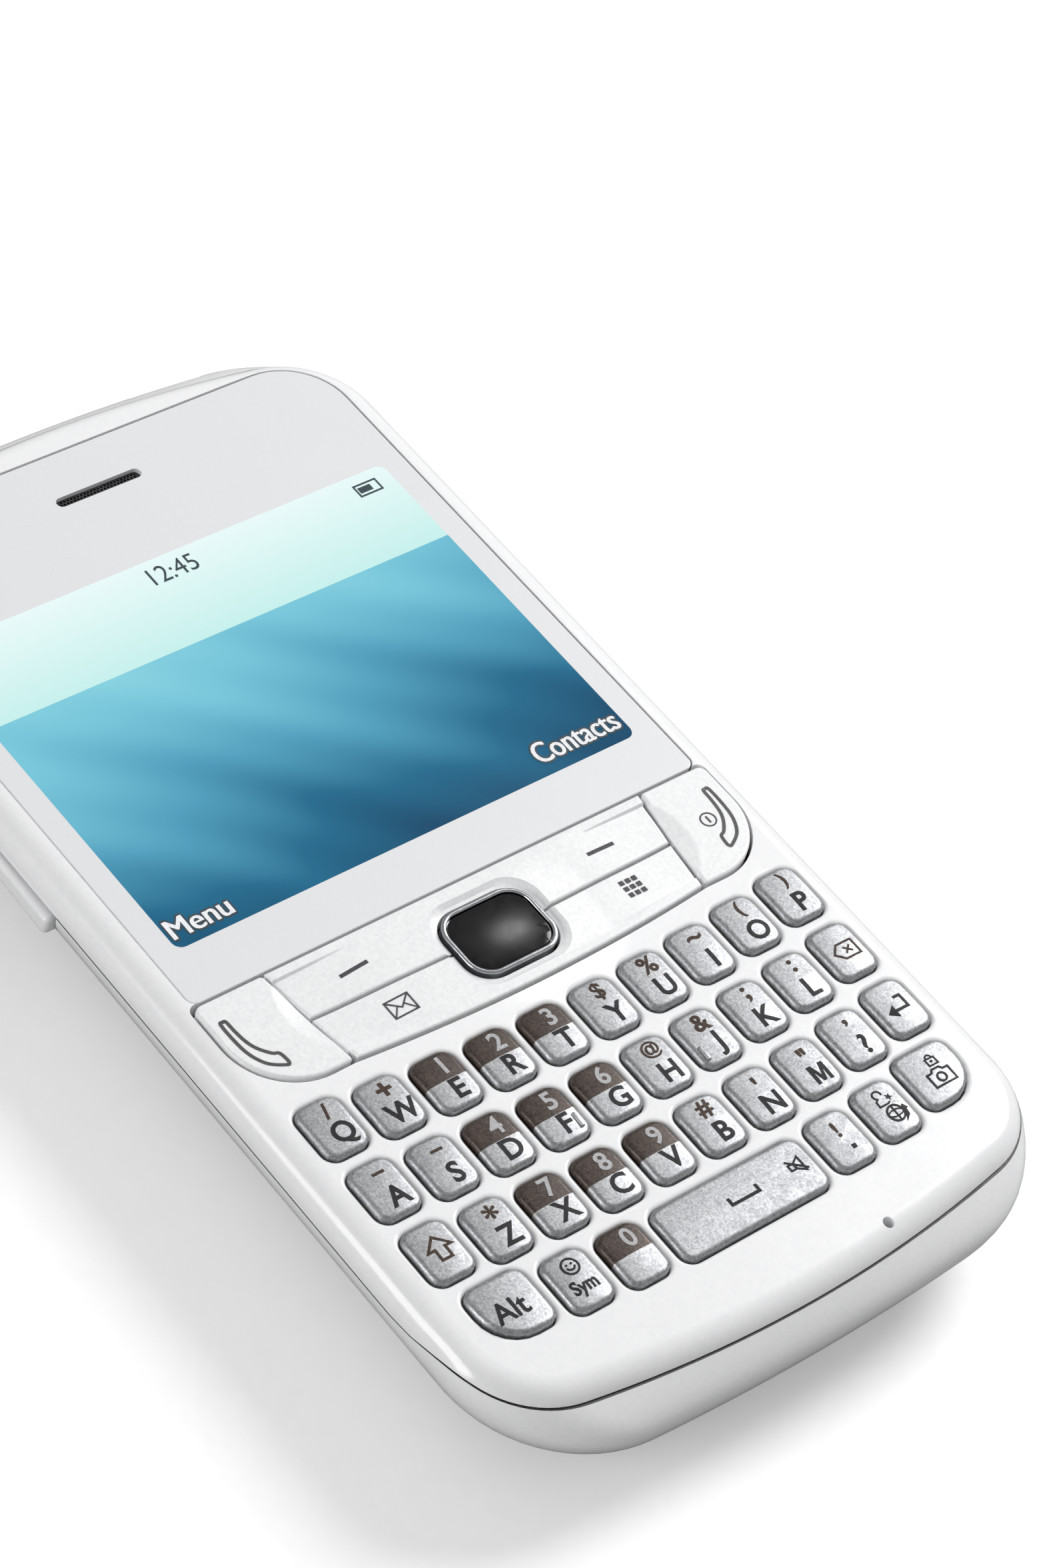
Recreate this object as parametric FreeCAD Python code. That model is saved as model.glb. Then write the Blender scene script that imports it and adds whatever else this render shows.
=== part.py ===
import FreeCAD, Part
import math
import os

# A one-piece messaging phone: a wide display over a cluster of function keys and a full
# letter keyboard, in a two-part shell with a battery cover on the back.
# Millimetres. +X is the phone's right, +Y runs towards the earpiece, +Z points out of the
# face. The origin is the middle of the flat back that the phone lies on.

Vector = FreeCAD.Vector

# ---- Face layout, from the bottom end of the face upwards ----
BOTTOM_MARGIN = 10.05       # face end to the middle of the space bar
ROW_PITCH = 6.935           # keyboard rows
ROWS_ABOVE_SPACE = 3
CLUSTER_RISE = 5.3          # middle of the top letter row to the function cluster
CLUSTER_HEIGHT = 11.5
LENS_CLEARANCE = 0.4        # function cluster to display lens
LOWER_BORDER = 5.27         # lens edge to the picture
PICTURE_HEIGHT = 36.8
UPPER_BORDER = 14.6
TOP_MARGIN = 3.75           # lens edge to the face end

# ---- Shell ----
FACE_WIDTH = 59.3
BODY_THICK = 11.5
FACE_CORNER_R = 8.9
FACE_BOW_R = 125.0          # bow of both ends of the face
FACE_EDGE_R = 2.5
FACE_EDGE_BANDS = 4         # flat bands that turn the rounded face edge
SHELL_CORNER_FLATS = 6      # flats that turn each corner of the shell
SHELL_BOW_FLATS = 6         # flats along each bowed end, an even number
POST_SIDES = 8              # sides of the hidden bosses, the screws and the microphone
SEAM_DROP_SIDE = 2.9        # parting line below the face, along the sides
SEAM_DROP_END = 1.3         # the same, round the two ends
SEAM_FLAT_END = 7.85        # stretch at each end where the parting line is level
SEAM_RISE_RUN = 10.0
SEAM_GAP = 0.08
BELLY_DROP = 4.4            # level where the rear shell reaches furthest out
END_BULGE = 2.06            # reach of the rear shell past the parting line, at each end
BELLY_CORNER_R = 12.4
BELLY_BOW_R = 250.0
BACK_CORNER_R = 10.0
SIDE_TUCK = 13.0            # how far the sides and ends curve in towards the flat back
END_TUCK = 7.5
TUCK_TURN = 72.0            # degrees of each elliptic quarter that the sides and ends follow
TUCK_LEVELS = (0.36, 0.66, 0.88, 1.0)
PLATE_THICK = 1.6
WALL = 1.3
LIP_GAP = 0.15              # tongue of the front shell inside the rear wall
LIP_THICK = 0.75
LIP_DROP = 3.5
COVER_THICK = 1.0
COVER_GAP = 0.1
COVER_SIDE_MARGIN = 4.0
COVER_END_MARGIN = 1.85
COVER_CORNER_R = 7.0

# ---- Display ----
LENS_MARGIN = 2.65          # face side to lens edge
LENS_THICK = 1.0
LENS_SINK = 0.08
LENS_GAP = 0.12
LENS_LOWER_R = 0.9
LENS_UPPER_R = 6.2
SIDE_BORDER = 2.4           # lens edge to the picture
GLASS_OVERLAP = 0.75        # display glass past the picture
FRAME_OVERLAP = 1.3         # display frame past its glass
FRAME_TAIL = 2.3            # extra frame below the glass, for the connector
FRAME_THICK = 1.25
SEAT_GAP = 0.05

# ---- Letter keys ----
KEY_SIDE_MARGIN = 2.4       # face side to the outer column cell
KEY_GAP = 1.4               # between neighbouring caps in a row
ROW_GAP = 1.635             # between caps of neighbouring rows
KEY_RISE = 0.5
KEY_CORNER_R = 1.15
KEY_BEVEL = 0.35
CORNER_FLAT_COUNT = 2       # flats that turn the small corner of a key or a slot
FLAT_CORNER_LIMIT = 5.0     # corners of this radius and more stay true arcs
KEY_CLEARANCE = 0.22
KEY_HOLE_BEVEL = 0.8
KEY_TRAVEL = 0.25
ROW_BOW_R = 208.0           # the rows curve upwards towards both sides
SPACE_COLUMNS = 3
SPACE_EXTRA = 0.45
CORNER_KEY_EXTRA = 1.55     # Alt and camera keys wider than a letter key
CORNER_KEY_RISE = 0.17
CORNER_KEY_TALL = 0.2
CORNER_KEY_R = 3.5
FLANGE_REACH = 0.42
FLANGE_THICK = 0.5
FLANGE_GAP = 0.1
MARKER = (0.32, 1.5, 0.12)  # raised finger guide: width, length, height

# ---- Function cluster ----
CLUSTER_MARGIN = 2.35       # face side to the call and end keys
CALL_TOP_WIDTH = 7.0
CALL_FOOT_WIDTH = 8.44
CALL_OUTER_R = 6.2
CALL_TOP_R = 0.8
SMALL_R = 0.35
CALL_FOOT_RISE = 0.9        # foot of the call and end keys above the cluster's lowest point
CLUSTER_BOW_R = 192.7
DIVIDER_BOW_R = 382.0
FUNCTION_GAP = 0.27
FUNCTION_RISE = 0.3
FUNCTION_BEVEL = 0.3
BAR_LIFT = 0.2              # room under the bars for their rocking
BAR_BAND = 0.9              # level band along the outer edge of each bar
SCOOP_LENGTH = 10.2         # hollow end of a bar beside its band
SCOOP_DEPTH = 0.35
HOLLOW_LENGTH = 8.8         # sloping hollow along the inner edge of the call and end keys
HOLLOW_WIDTH = 1.6
HOLLOW_DEPTH = 0.4
BAR_SWITCH_X = 13.0
NAV_RISE_Y = 5.57           # middle of the navigation pad above the cluster's lowest point
NAV_WIDTH = 8.4
NAV_HEIGHT = 6.33
NAV_CORNER_R = 1.9
NAV_CORNER_FLATS = 4
NAV_BRIM_WIDTH = 0.75       # sloping brim of the bars round the pad
NAV_BRIM_DEPTH = 0.42
NAV_GLASS_THICK = 0.8
NAV_GLASS_RISE = 0.25
RING_WIDTH = 0.45
RING_RISE = 0.35

# ---- Keypad parts and board ----
MEMBRANE_THICK = 0.7
MEMBRANE_GAP = 0.05         # spare room between a pressed key and the membrane
NUB = 1.6
NUB_HEIGHT = 0.35
DOME = 2.6
DOME_HEIGHT = 0.25
DOME_GAP = 0.05
FILM_THICK = 0.1
BOARD_THICK = 0.8
BOARD_GAP = 0.3
SHIELD_SIDE_GAP = 3.0

# ---- Parts in the rear shell ----
BAY_FLOOR = 0.95
BATTERY_WIDTH = 35.0
BATTERY_CORNER_R = 1.0
BATTERY_LIFT = 0.4
BATTERY_GAP = 0.15
BAY_FROM_END = 18.2
BAY_TO_CAMERA = 13.5
CAMERA_FROM_TOP = 18.25
CAMERA_X = -6.0
CAMERA_SIZE = 8.4
BARREL_R = 2.9
BARREL_GAP = 0.3
BARREL_SINK = 0.3
SPEAKER_X = 10.5
SPEAKER_SIZE = (16.0, 12.0)
SPEAKER_SLOTS = 5
SLOT_SIZE = (9.0, 0.8)
SLOT_PITCH = 1.7
POCKET_FLOOR = 0.9
POCKET_GAP = 0.2
EARPIECE_SIZE = (10.0, 6.4)
EARPIECE_FROM_LENS_TOP = 5.3
EARPIECE_SLOT = (9.0, 1.1)
MIC_X = 9.34
MIC_FROM_END = 2.4
MIC_HOLE_R = 0.5
MIC_R = 1.2
MIC_THICK = 1.2

# ---- Sockets at the top end ----
JACK_FROM_SIDE = 13.65
JACK_R = 1.8
JACK_DEPTH = 14.0
JACK_WIDTH = 6.2
JACK_THICK = 5.0
JACK_WALL_GAP = 0.2
SOCKET_SINK = 1.0
SOCKET_ROOM_FROM_END = 3.9  # where the square rooms end and the mouths through the wall begin
USB_FROM_SIDE = 14.65
USB_SHELL = (7.5, 5.6, 2.6)
USB_WALL = 0.3
USB_TONGUE = (3.8, 3.6, 0.6)
USB_GAP = 0.2

# ---- Volume key and screws ----
VOLUME_FROM_TOP = 36.05     # middle of the key below the top of the face
VOLUME_LENGTH = 19.0
VOLUME_THICK = 2.0
VOLUME_PROUD = 0.8
VOLUME_GAP = 0.25
VOLUME_INNER = 0.7
VOLUME_FLANGE = 0.8
SCREW_FROM_SIDE = 7.15
SCREW_FROM_END = 5.75
SCREW_R = 0.7
SCREW_HEAD_R = 1.4
SCREW_HEAD_THICK = 0.8
SCREW_SEAT = 1.1            # shell left between the screw head and the boss
SCREW_GAP = 0.05
BOSS_R = 1.9
BOSS_GAP = 0.3
RIB_POCKETS = 5
RIB_POCKET = (5.6, 8.0, 2.0)
RIB_PITCH = 9.6
RIB_POCKET_INSET = 7.4      # middle of the pockets in from the face side

# ---- Places that follow from the sizes above ----
half_width = FACE_WIDTH / 2
face_length = (BOTTOM_MARGIN + ROWS_ABOVE_SPACE * ROW_PITCH + CLUSTER_RISE + CLUSTER_HEIGHT
               + LENS_CLEARANCE + LOWER_BORDER + PICTURE_HEIGHT + UPPER_BORDER + TOP_MARGIN)
half_length = face_length / 2
space_y = BOTTOM_MARGIN - half_length
top_row_y = space_y + ROWS_ABOVE_SPACE * ROW_PITCH
cluster_y = top_row_y + CLUSTER_RISE
cluster_top = cluster_y + CLUSTER_HEIGHT
lens_y = cluster_top + LENS_CLEARANCE
picture_y = lens_y + LOWER_BORDER
picture_top = picture_y + PICTURE_HEIGHT
lens_top_y = picture_top + UPPER_BORDER
nav_y = cluster_y + NAV_RISE_Y
earpiece_y = lens_top_y - EARPIECE_FROM_LENS_TOP
camera_y = half_length - CAMERA_FROM_TOP
mic_y = MIC_FROM_END - half_length
volume_y = half_length - VOLUME_FROM_TOP
jack_x = JACK_FROM_SIDE - half_width
socket_room_y = half_length - SOCKET_ROOM_FROM_END
usb_x = half_width - USB_FROM_SIDE

face_z = BODY_THICK
plate_z = face_z - PLATE_THICK
lens_z = face_z - LENS_SINK - LENS_THICK
pocket_z = lens_z - SEAT_GAP
frame_top = plate_z - SEAT_GAP
frame_z = frame_top - FRAME_THICK
flange_top = plate_z - FLANGE_GAP
flange_z = flange_top - FLANGE_THICK
membrane_top = flange_z - KEY_TRAVEL - MEMBRANE_GAP
membrane_z = membrane_top - MEMBRANE_THICK
nub_z = membrane_z - NUB_HEIGHT
dome_top = nub_z - DOME_GAP
film_z = dome_top - DOME_HEIGHT - FILM_THICK
board_z = film_z - BOARD_THICK
socket_z = board_z + BOARD_THICK / 2
key_top = face_z + KEY_RISE
function_top = face_z + FUNCTION_RISE

pitch = (FACE_WIDTH - 2 * KEY_SIDE_MARGIN) / 10
cap_width = pitch - KEY_GAP
cap_height = ROW_PITCH - ROW_GAP
lens_half = half_width - LENS_MARGIN
picture_half = lens_half - SIDE_BORDER
cluster_half = half_width - CLUSTER_MARGIN
belly_length = half_length + END_BULGE
recess_z = COVER_THICK + COVER_GAP
rear_floor = recess_z + POCKET_FLOOR
bay_z = board_z - BAY_FLOOR
bay_bottom = BAY_FROM_END - half_length
bay_top = camera_y - BAY_TO_CAMERA
screw_xy = [(sx * (half_width - SCREW_FROM_SIDE), sy * (half_length - SCREW_FROM_END))
            for sx in (-1, 1) for sy in (-1, 1)]


# ---- Shapes used more than once ----
SHARP_JOIN = 2              # offset outlines keep their corners


def box(cx, cy, width, height, z0, z1):
    """Upright box centred on (cx, cy)."""
    corner = Vector(cx - width / 2, cy - height / 2, z0)
    return Part.makeBox(width, height, z1 - z0, corner)


def post(x, y, radius, z0, z1):
    """Round post along Z."""
    return Part.makeCylinder(radius, z1 - z0, Vector(x, y, z0))


def sided_post(x, y, radius, z0, z1):
    """Post along Z with flat sides, for small or hidden round parts."""
    turns = [math.tau * (side + 0.5) / POST_SIDES for side in range(POST_SIDES)]
    corners = [Vector(x + radius * math.cos(turn), y + radius * math.sin(turn), 0) for turn in turns]
    return prism(Part.makePolygon(corners + corners[:1]), z0, z1)


def arc_about(centre, start, end):
    """Arc of less than half a turn about a centre, on its outer side."""
    middle = (start + end) / 2 - centre
    middle.normalize()
    return Part.Arc(start, centre + middle * (start - centre).Length, end).toShape()


def corner_edges(start, end, centre, flats):
    """Edges round one corner: an arc, or a run of equal flats."""
    if not flats:
        return [arc_about(centre, start, end)]
    radius = start - centre
    turn = radius.getAngle(end - centre) * (1 if radius.cross(end - centre).z > 0 else -1)
    points = []
    for step in range(flats + 1):
        angle = turn * step / flats
        rotation = FreeCAD.Rotation(Vector(0, 0, 1), math.degrees(angle))
        points.append(centre + rotation.multVec(radius))
    return [Part.makeLine(points[step], points[step + 1]) for step in range(flats)]


def polygon(corners, flats=0):
    """Closed flat wire through corners (x, y, radius), each rounded, small ones by flats."""
    arcs = []
    count = len(corners)
    for index, (x, y, radius) in enumerate(corners):
        here = Vector(x, y, 0)
        before = Vector(*corners[index - 1][:2], 0) - here
        after = Vector(*corners[(index + 1) % count][:2], 0) - here
        before.normalize()
        after.normalize()
        half_turn = before.getAngle(after) / 2
        reach = radius / math.tan(half_turn)
        bisector = before + after
        bisector.normalize()
        centre = here + bisector * (radius / math.sin(half_turn))
        arcs.append((here + before * reach, here + after * reach, centre, radius))
    edges = []
    for index, (start, end, centre, radius) in enumerate(arcs):
        if radius > 0:
            edges += corner_edges(start, end, centre, flats if radius < FLAT_CORNER_LIMIT else 0)
        edges.append(Part.makeLine(end, arcs[(index + 1) % count][0]))
    return Part.Wire(edges)


def rectangle(cx, cy, width, height, lower_r, upper_r=None, flats=0):
    """Rounded rectangle centred on (cx, cy)."""
    upper_r = lower_r if upper_r is None else upper_r
    x0, x1 = cx - width / 2, cx + width / 2
    y0, y1 = cy - height / 2, cy + height / 2
    corners = [(x0, y0, lower_r), (x1, y0, lower_r), (x1, y1, upper_r), (x0, y1, upper_r)]
    return polygon(corners, flats)


def bowed_outline(half_w, half_l, corner_r, bow_r):
    """Rounded rectangle about the origin with bowed ends, tangent all the way round."""
    bow_centre_y = bow_r - half_l
    corner_x = half_w - corner_r
    corner_y = bow_centre_y - math.sqrt((bow_r - corner_r) ** 2 - corner_x ** 2)
    share = bow_r / (bow_r - corner_r)
    bow_x = corner_x * share
    bow_y = bow_centre_y + (corner_y - bow_centre_y) * share
    edges = [Part.makeLine(Vector(half_w, corner_y, 0), Vector(half_w, -corner_y, 0))]
    upper = Vector(corner_x, -corner_y, 0)
    edges += corner_edges(Vector(half_w, -corner_y, 0), Vector(bow_x, -bow_y, 0), upper,
                          SHELL_CORNER_FLATS)
    edges += corner_edges(Vector(bow_x, -bow_y, 0), Vector(-bow_x, -bow_y, 0),
                          Vector(0, -bow_centre_y, 0), SHELL_BOW_FLATS)
    upper.x = -corner_x
    edges += corner_edges(Vector(-bow_x, -bow_y, 0), Vector(-half_w, -corner_y, 0), upper,
                          SHELL_CORNER_FLATS)
    edges.append(Part.makeLine(Vector(-half_w, -corner_y, 0), Vector(-half_w, corner_y, 0)))
    lower = Vector(-corner_x, corner_y, 0)
    edges += corner_edges(Vector(-half_w, corner_y, 0), Vector(-bow_x, bow_y, 0), lower,
                          SHELL_CORNER_FLATS)
    edges += corner_edges(Vector(-bow_x, bow_y, 0), Vector(bow_x, bow_y, 0),
                          Vector(0, bow_centre_y, 0), SHELL_BOW_FLATS)
    lower.x = corner_x
    edges += corner_edges(Vector(bow_x, bow_y, 0), Vector(half_w, corner_y, 0), lower,
                          SHELL_CORNER_FLATS)
    return Part.Wire(edges)


def prism(outline, z0, z1):
    """Solid between two levels, from a flat wire or face at level 0."""
    face = outline if outline.ShapeType == "Face" else Part.Face(outline)
    face = face.copy()
    face.translate(Vector(0, 0, z0))
    return face.extrude(Vector(0, 0, z1 - z0))


def grown(outline, reach):
    """Outline moved outwards by reach."""
    return outline.makeOffset2D(reach, SHARP_JOIN) if reach else outline


def edges_at(shape, z):
    """Edges that lie wholly in the level z."""
    return [edge for edge in shape.Edges
            if abs(edge.BoundBox.ZMin - z) < 1e-4 and abs(edge.BoundBox.ZMax - z) < 1e-4]


def bevel_top(shape, z, size):
    """Bevel the edges in the level z."""
    return shape.makeChamfer(size, edges_at(shape, z))


def one_solid(shape):
    """The single solid of a boolean result, with leftover seams removed."""
    shape = shape.removeSplitter()
    return shape.Solids[0] if len(shape.Solids) == 1 else shape


def face_outline(inset):
    """Outline of the face, moved inwards."""
    return bowed_outline(half_width - inset, half_length - inset, FACE_CORNER_R - inset,
                         FACE_BOW_R - inset)


# ---- Outer form of the shell ----
def edge_inset(drop):
    """How far the rounded face edge lies inside the full outline at a drop below the face."""
    rise = max(FACE_EDGE_R - drop, 0)
    return FACE_EDGE_R - math.sqrt(FACE_EDGE_R ** 2 - rise ** 2)


def tuck_share(drop, start_drop, inset):
    """Share of the tuck-in that an elliptic arc has made at a drop below the face."""
    turn = math.radians(TUCK_TURN)
    depth = max(drop - start_drop, 0) / (BODY_THICK - start_drop - inset) * math.sin(turn)
    return (1 - math.sqrt(1 - depth ** 2)) / (1 - math.cos(turn))


def rear_section(drop, inset):
    """Outline of the rear shell at a drop below the face."""
    ease = min((drop - SEAM_DROP_END) / (BELLY_DROP - SEAM_DROP_END), 1)
    swell = math.sin(math.pi / 2 * ease)
    side = half_width - edge_inset(drop) - SIDE_TUCK * tuck_share(drop, SEAM_DROP_SIDE, inset)
    end_tuck = tuck_share(drop, BELLY_DROP, inset)
    seam_end = half_length - edge_inset(SEAM_DROP_END)
    end = seam_end + (belly_length - seam_end) * swell - END_TUCK * end_tuck
    corner = FACE_CORNER_R - edge_inset(SEAM_DROP_END)
    corner += (BELLY_CORNER_R - corner) * swell + (BACK_CORNER_R - BELLY_CORNER_R) * end_tuck
    curve = 1 / FACE_BOW_R + (1 / BELLY_BOW_R - 1 / FACE_BOW_R) * swell
    outline = bowed_outline(side - inset, end - inset, corner - inset, 1 / curve)
    outline.translate(Vector(0, 0, face_z - drop))
    return outline


def rear_form(inset):
    """Outer form of the rear shell, moved inwards by inset, up past the parting line."""
    drops = [SEAM_DROP_END * 0.75, (SEAM_DROP_END + SEAM_DROP_SIDE) / 2,
             SEAM_DROP_SIDE, BELLY_DROP]
    tuck_height = BODY_THICK - BELLY_DROP - inset
    drops += [BELLY_DROP + tuck_height * share for share in TUCK_LEVELS]
    return Part.makeLoft([rear_section(drop, inset) for drop in drops], True, True)


def front_form(low_drop):
    """Outer form of the face shell, with its rounded edge turned by flat bands."""
    levels = [(low_drop, 0)]
    for band in range(FACE_EDGE_BANDS + 1):
        turn = math.pi / 2 * band / FACE_EDGE_BANDS
        levels.append((FACE_EDGE_R * (1 - math.sin(turn)), FACE_EDGE_R * (1 - math.cos(turn))))
    sections = []
    for drop, inset in levels:
        section = face_outline(inset)
        section.translate(Vector(0, 0, face_z - drop))
        sections.append(section)
    return Part.makeLoft(sections, True, True)


def below_seam(gap):
    """Everything under the parting surface, which rises in an S towards both ends."""
    side_z = face_z - SEAM_DROP_SIDE - gap
    end_z = face_z - SEAM_DROP_END - gap
    far = 2 * half_length
    under = -BODY_THICK
    rise_end = half_length - SEAM_FLAT_END
    rise_start = rise_end - SEAM_RISE_RUN
    middle_y = (rise_end + rise_start) / 2
    middle_z = (side_z + end_z) / 2
    radius = (SEAM_RISE_RUN ** 2 + (end_z - side_z) ** 2) / (4 * (end_z - side_z))
    profile = []
    for side in (-1, 1):
        high, low = Vector(0, side * rise_end, end_z), Vector(0, side * rise_start, side_z)
        middle = Vector(0, side * middle_y, middle_z)
        upper_arc = arc_about(high - Vector(0, 0, radius), high, middle)
        lower_arc = arc_about(low + Vector(0, 0, radius), middle, low)
        profile += [Part.makeLine(Vector(0, side * far, end_z), high), upper_arc, lower_arc]
    profile.append(Part.makeLine(Vector(0, -rise_start, side_z), Vector(0, rise_start, side_z)))
    for side in (-1, 1):
        profile.append(Part.makeLine(Vector(0, side * far, end_z), Vector(0, side * far, under)))
    profile.append(Part.makeLine(Vector(0, -far, under), Vector(0, far, under)))
    face = Part.Face(Part.Wire(Part.__sortEdges__(profile)))
    face.translate(Vector(-FACE_WIDTH, 0, 0))
    return face.extrude(Vector(2 * FACE_WIDTH, 0, 0))


# ---- Keyboard ----
LETTER_ROWS = (("q", "w", "e", "r", "t", "y", "u", "i", "o", "p"),
               ("a", "s", "d", "f", "g", "h", "j", "k", "l", "backspace"),
               ("shift", "z", "x", "c", "v", "b", "n", "m", "question", "enter"))
SPACE_ROW = (("period", "zero"), ("web", "sym"), ("camera", "alt"))


def bow_rise(x):
    """Rise of the curved rows at a distance from the middle."""
    return ROW_BOW_R - math.sqrt(ROW_BOW_R ** 2 - x ** 2)


def key_places():
    """Name, centre and size of every keyboard key."""
    places = []
    for row, names in enumerate(LETTER_ROWS):
        for column, name in enumerate(names):
            x = (column - 4.5) * pitch
            places.append((name, x, top_row_y - row * ROW_PITCH + bow_rise(x), cap_width, cap_height))
    space_width = SPACE_COLUMNS * pitch - KEY_GAP + SPACE_EXTRA
    places.append(("space", 0, space_y, space_width, cap_height))
    edge = space_width / 2 + KEY_GAP
    for step, (right, left) in enumerate(SPACE_ROW):
        corner = step == len(SPACE_ROW) - 1
        width = cap_width + (CORNER_KEY_EXTRA if corner else 0)
        height = cap_height + (CORNER_KEY_TALL if corner else 0)
        x = edge + width / 2
        y = space_y + bow_rise(x) + (CORNER_KEY_RISE if corner else 0)
        places.append((right, x, y, width, height))
        places.append((left, -x, y, width, height))
        edge += width + KEY_GAP
    return places


def key_hole(name, x, y, width, height):
    """Hole of a key with bevelled corners, or with the corner keys' own rounded outline."""
    if name in ("alt", "camera"):
        outline = key_outline(name, x, y, width, height, KEY_CLEARANCE)
        return prism(outline, plate_z - 1, face_z + 1)
    hole = box(x, y, width + 2 * KEY_CLEARANCE, height + 2 * KEY_CLEARANCE, plate_z - 1, face_z + 1)
    upright = [edge for edge in hole.Edges if edge.BoundBox.ZLength > PLATE_THICK]
    return hole.makeChamfer(KEY_HOLE_BEVEL, upright)


def key_outline(name, x, y, width, height, reach):
    """Outline of a key cap or, moved outwards, of its hole or flange."""
    small = KEY_CORNER_R + reach
    outer = CORNER_KEY_R + reach
    x0, x1 = x - width / 2 - reach, x + width / 2 + reach
    y0, y1 = y - height / 2 - reach, y + height / 2 + reach
    lower_left = outer if name == "alt" else small
    lower_right = outer if name == "camera" else small
    corners = [(x0, y0, lower_left), (x1, y0, lower_right), (x1, y1, small), (x0, y1, small)]
    return polygon(corners, CORNER_FLAT_COUNT)


def keyboard_key(name, x, y, width, height):
    """Bevelled cap of one key with its retaining flange, and a finger guide on F and J."""
    sections = []
    for level, inset in ((flange_top, 0), (key_top - KEY_BEVEL, 0), (key_top, KEY_BEVEL)):
        section = key_outline(name, x, y, width, height, -inset)
        section.translate(Vector(0, 0, level))
        sections.append(section)
    cap = Part.makeLoft(sections, True, True)
    flange = box(x, y, width + 2 * FLANGE_REACH, height + 2 * FLANGE_REACH, flange_z, flange_top)
    if name in ("alt", "camera"):
        flange = prism(key_outline(name, x, y, width, height, FLANGE_REACH), flange_z, flange_top)
    key = cap.fuse(flange)
    if name in ("f", "j"):
        side = 1 if name == "f" else -1
        marker_x = x + side * (width / 2 - KEY_CORNER_R / 2)
        marker_y = y - height / 4
        key = key.fuse(box(marker_x, marker_y, MARKER[0], MARKER[1], flange_top, key_top + MARKER[2]))
    return one_solid(key)


# ---- Function cluster ----
def call_outline(side):
    """Outline of the call key (side -1) or the end key (side 1)."""
    top_inner = cluster_half - CALL_TOP_WIDTH
    foot_inner = cluster_half - CALL_FOOT_WIDTH
    foot = cluster_y + CALL_FOOT_RISE
    corners = [(top_inner, cluster_top, SMALL_R), (cluster_half, cluster_top, CALL_TOP_R),
               (cluster_half, foot, CALL_OUTER_R), (foot_inner, foot, SMALL_R)]
    return polygon([(side * x, y, radius) for x, y, radius in corners], CORNER_FLAT_COUNT)


def disk(lowest_y, radius):
    """Large round face whose lowest point lies at (0, lowest_y)."""
    return Part.Face(Part.Wire(Part.makeCircle(radius, Vector(0, lowest_y + radius, 0))))


def bar_face(upper, reach):
    """Face of the upper or lower function bar, moved outwards by reach, without its notch."""
    slope = (CALL_FOOT_WIDTH - CALL_TOP_WIDTH) / (CLUSTER_HEIGHT - CALL_FOOT_RISE)
    top_x = cluster_half - CALL_TOP_WIDTH - FUNCTION_GAP
    low_x = top_x - slope * CLUSTER_HEIGHT
    outline = polygon([(-top_x, cluster_top, SMALL_R), (top_x, cluster_top, SMALL_R),
                       (low_x, cluster_y, 0), (-low_x, cluster_y, 0)], CORNER_FLAT_COUNT)
    face = Part.Face(grown(outline, reach))
    if upper:
        bar = face.common(disk(nav_y + FUNCTION_GAP / 2 - reach, DIVIDER_BOW_R + reach))
    else:
        bar = face.common(disk(cluster_y - reach, CLUSTER_BOW_R + reach))
        bar = bar.cut(disk(nav_y - FUNCTION_GAP / 2 + reach, DIVIDER_BOW_R - reach))
    return bar.Faces[0]


def nav_outline(reach):
    """Outline of the navigation pad's glass, moved outwards."""
    return rectangle(0, nav_y, NAV_WIDTH + 2 * reach, NAV_HEIGHT + 2 * reach, NAV_CORNER_R + reach,
                     flats=NAV_CORNER_FLATS)


def function_key(side):
    """Call or end key with its foot on the membrane."""
    outline = call_outline(side)
    cap = bevel_top(prism(outline, flange_top, function_top), function_top, FUNCTION_BEVEL)
    x, y = call_switch(side)
    foot = box(x, y, CALL_TOP_WIDTH / 2, CLUSTER_HEIGHT / 2, flange_z, flange_top)
    return one_solid(cap.cut(edge_hollow(side)).fuse(foot))


def edge_hollow(side):
    """Sloping round cut along the inner edge of the call or end key, deepest at its middle."""
    top = Vector(side * (cluster_half - CALL_TOP_WIDTH), cluster_top, function_top)
    foot = Vector(side * (cluster_half - CALL_FOOT_WIDTH), cluster_y + CALL_FOOT_RISE, function_top)
    along = (top - foot).normalize()
    across = Vector(side * along.y, -side * along.x, 0)
    rise = (across * HOLLOW_WIDTH + Vector(0, 0, HOLLOW_DEPTH)).normalize()
    upwards = (Vector(0, 0, HOLLOW_WIDTH) - across * HOLLOW_DEPTH).normalize()
    radius = HOLLOW_LENGTH ** 2 / (8 * HOLLOW_DEPTH)
    lowest = (top + foot) / 2 - Vector(0, 0, HOLLOW_DEPTH)
    start = lowest + upwards * radius - rise * HOLLOW_WIDTH
    return Part.makeCylinder(radius, 4 * HOLLOW_WIDTH, start, rise)


def call_switch(side):
    """Place of the switch under the call or end key."""
    return side * (cluster_half - CALL_FOOT_WIDTH / 2), (cluster_top + cluster_y) / 2


def bar_switch_y(upper):
    """Level of the switches under a function bar."""
    top = cluster_top if upper else nav_y
    bottom = nav_y if upper else cluster_y
    return (top + bottom) / 2


def nav_notch():
    """Shaft for the navigation pad through the bars, with its sloping brim."""
    reach = RING_WIDTH + FUNCTION_GAP
    sections = []
    for side in (-1, 1):
        section = nav_outline(reach + (1 + side) * NAV_BRIM_WIDTH)
        section.translate(Vector(0, 0, function_top + side * NAV_BRIM_DEPTH))
        sections.append(section)
    return [prism(nav_outline(reach), 0, face_z * 2), Part.makeLoft(sections, True, True)]


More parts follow.
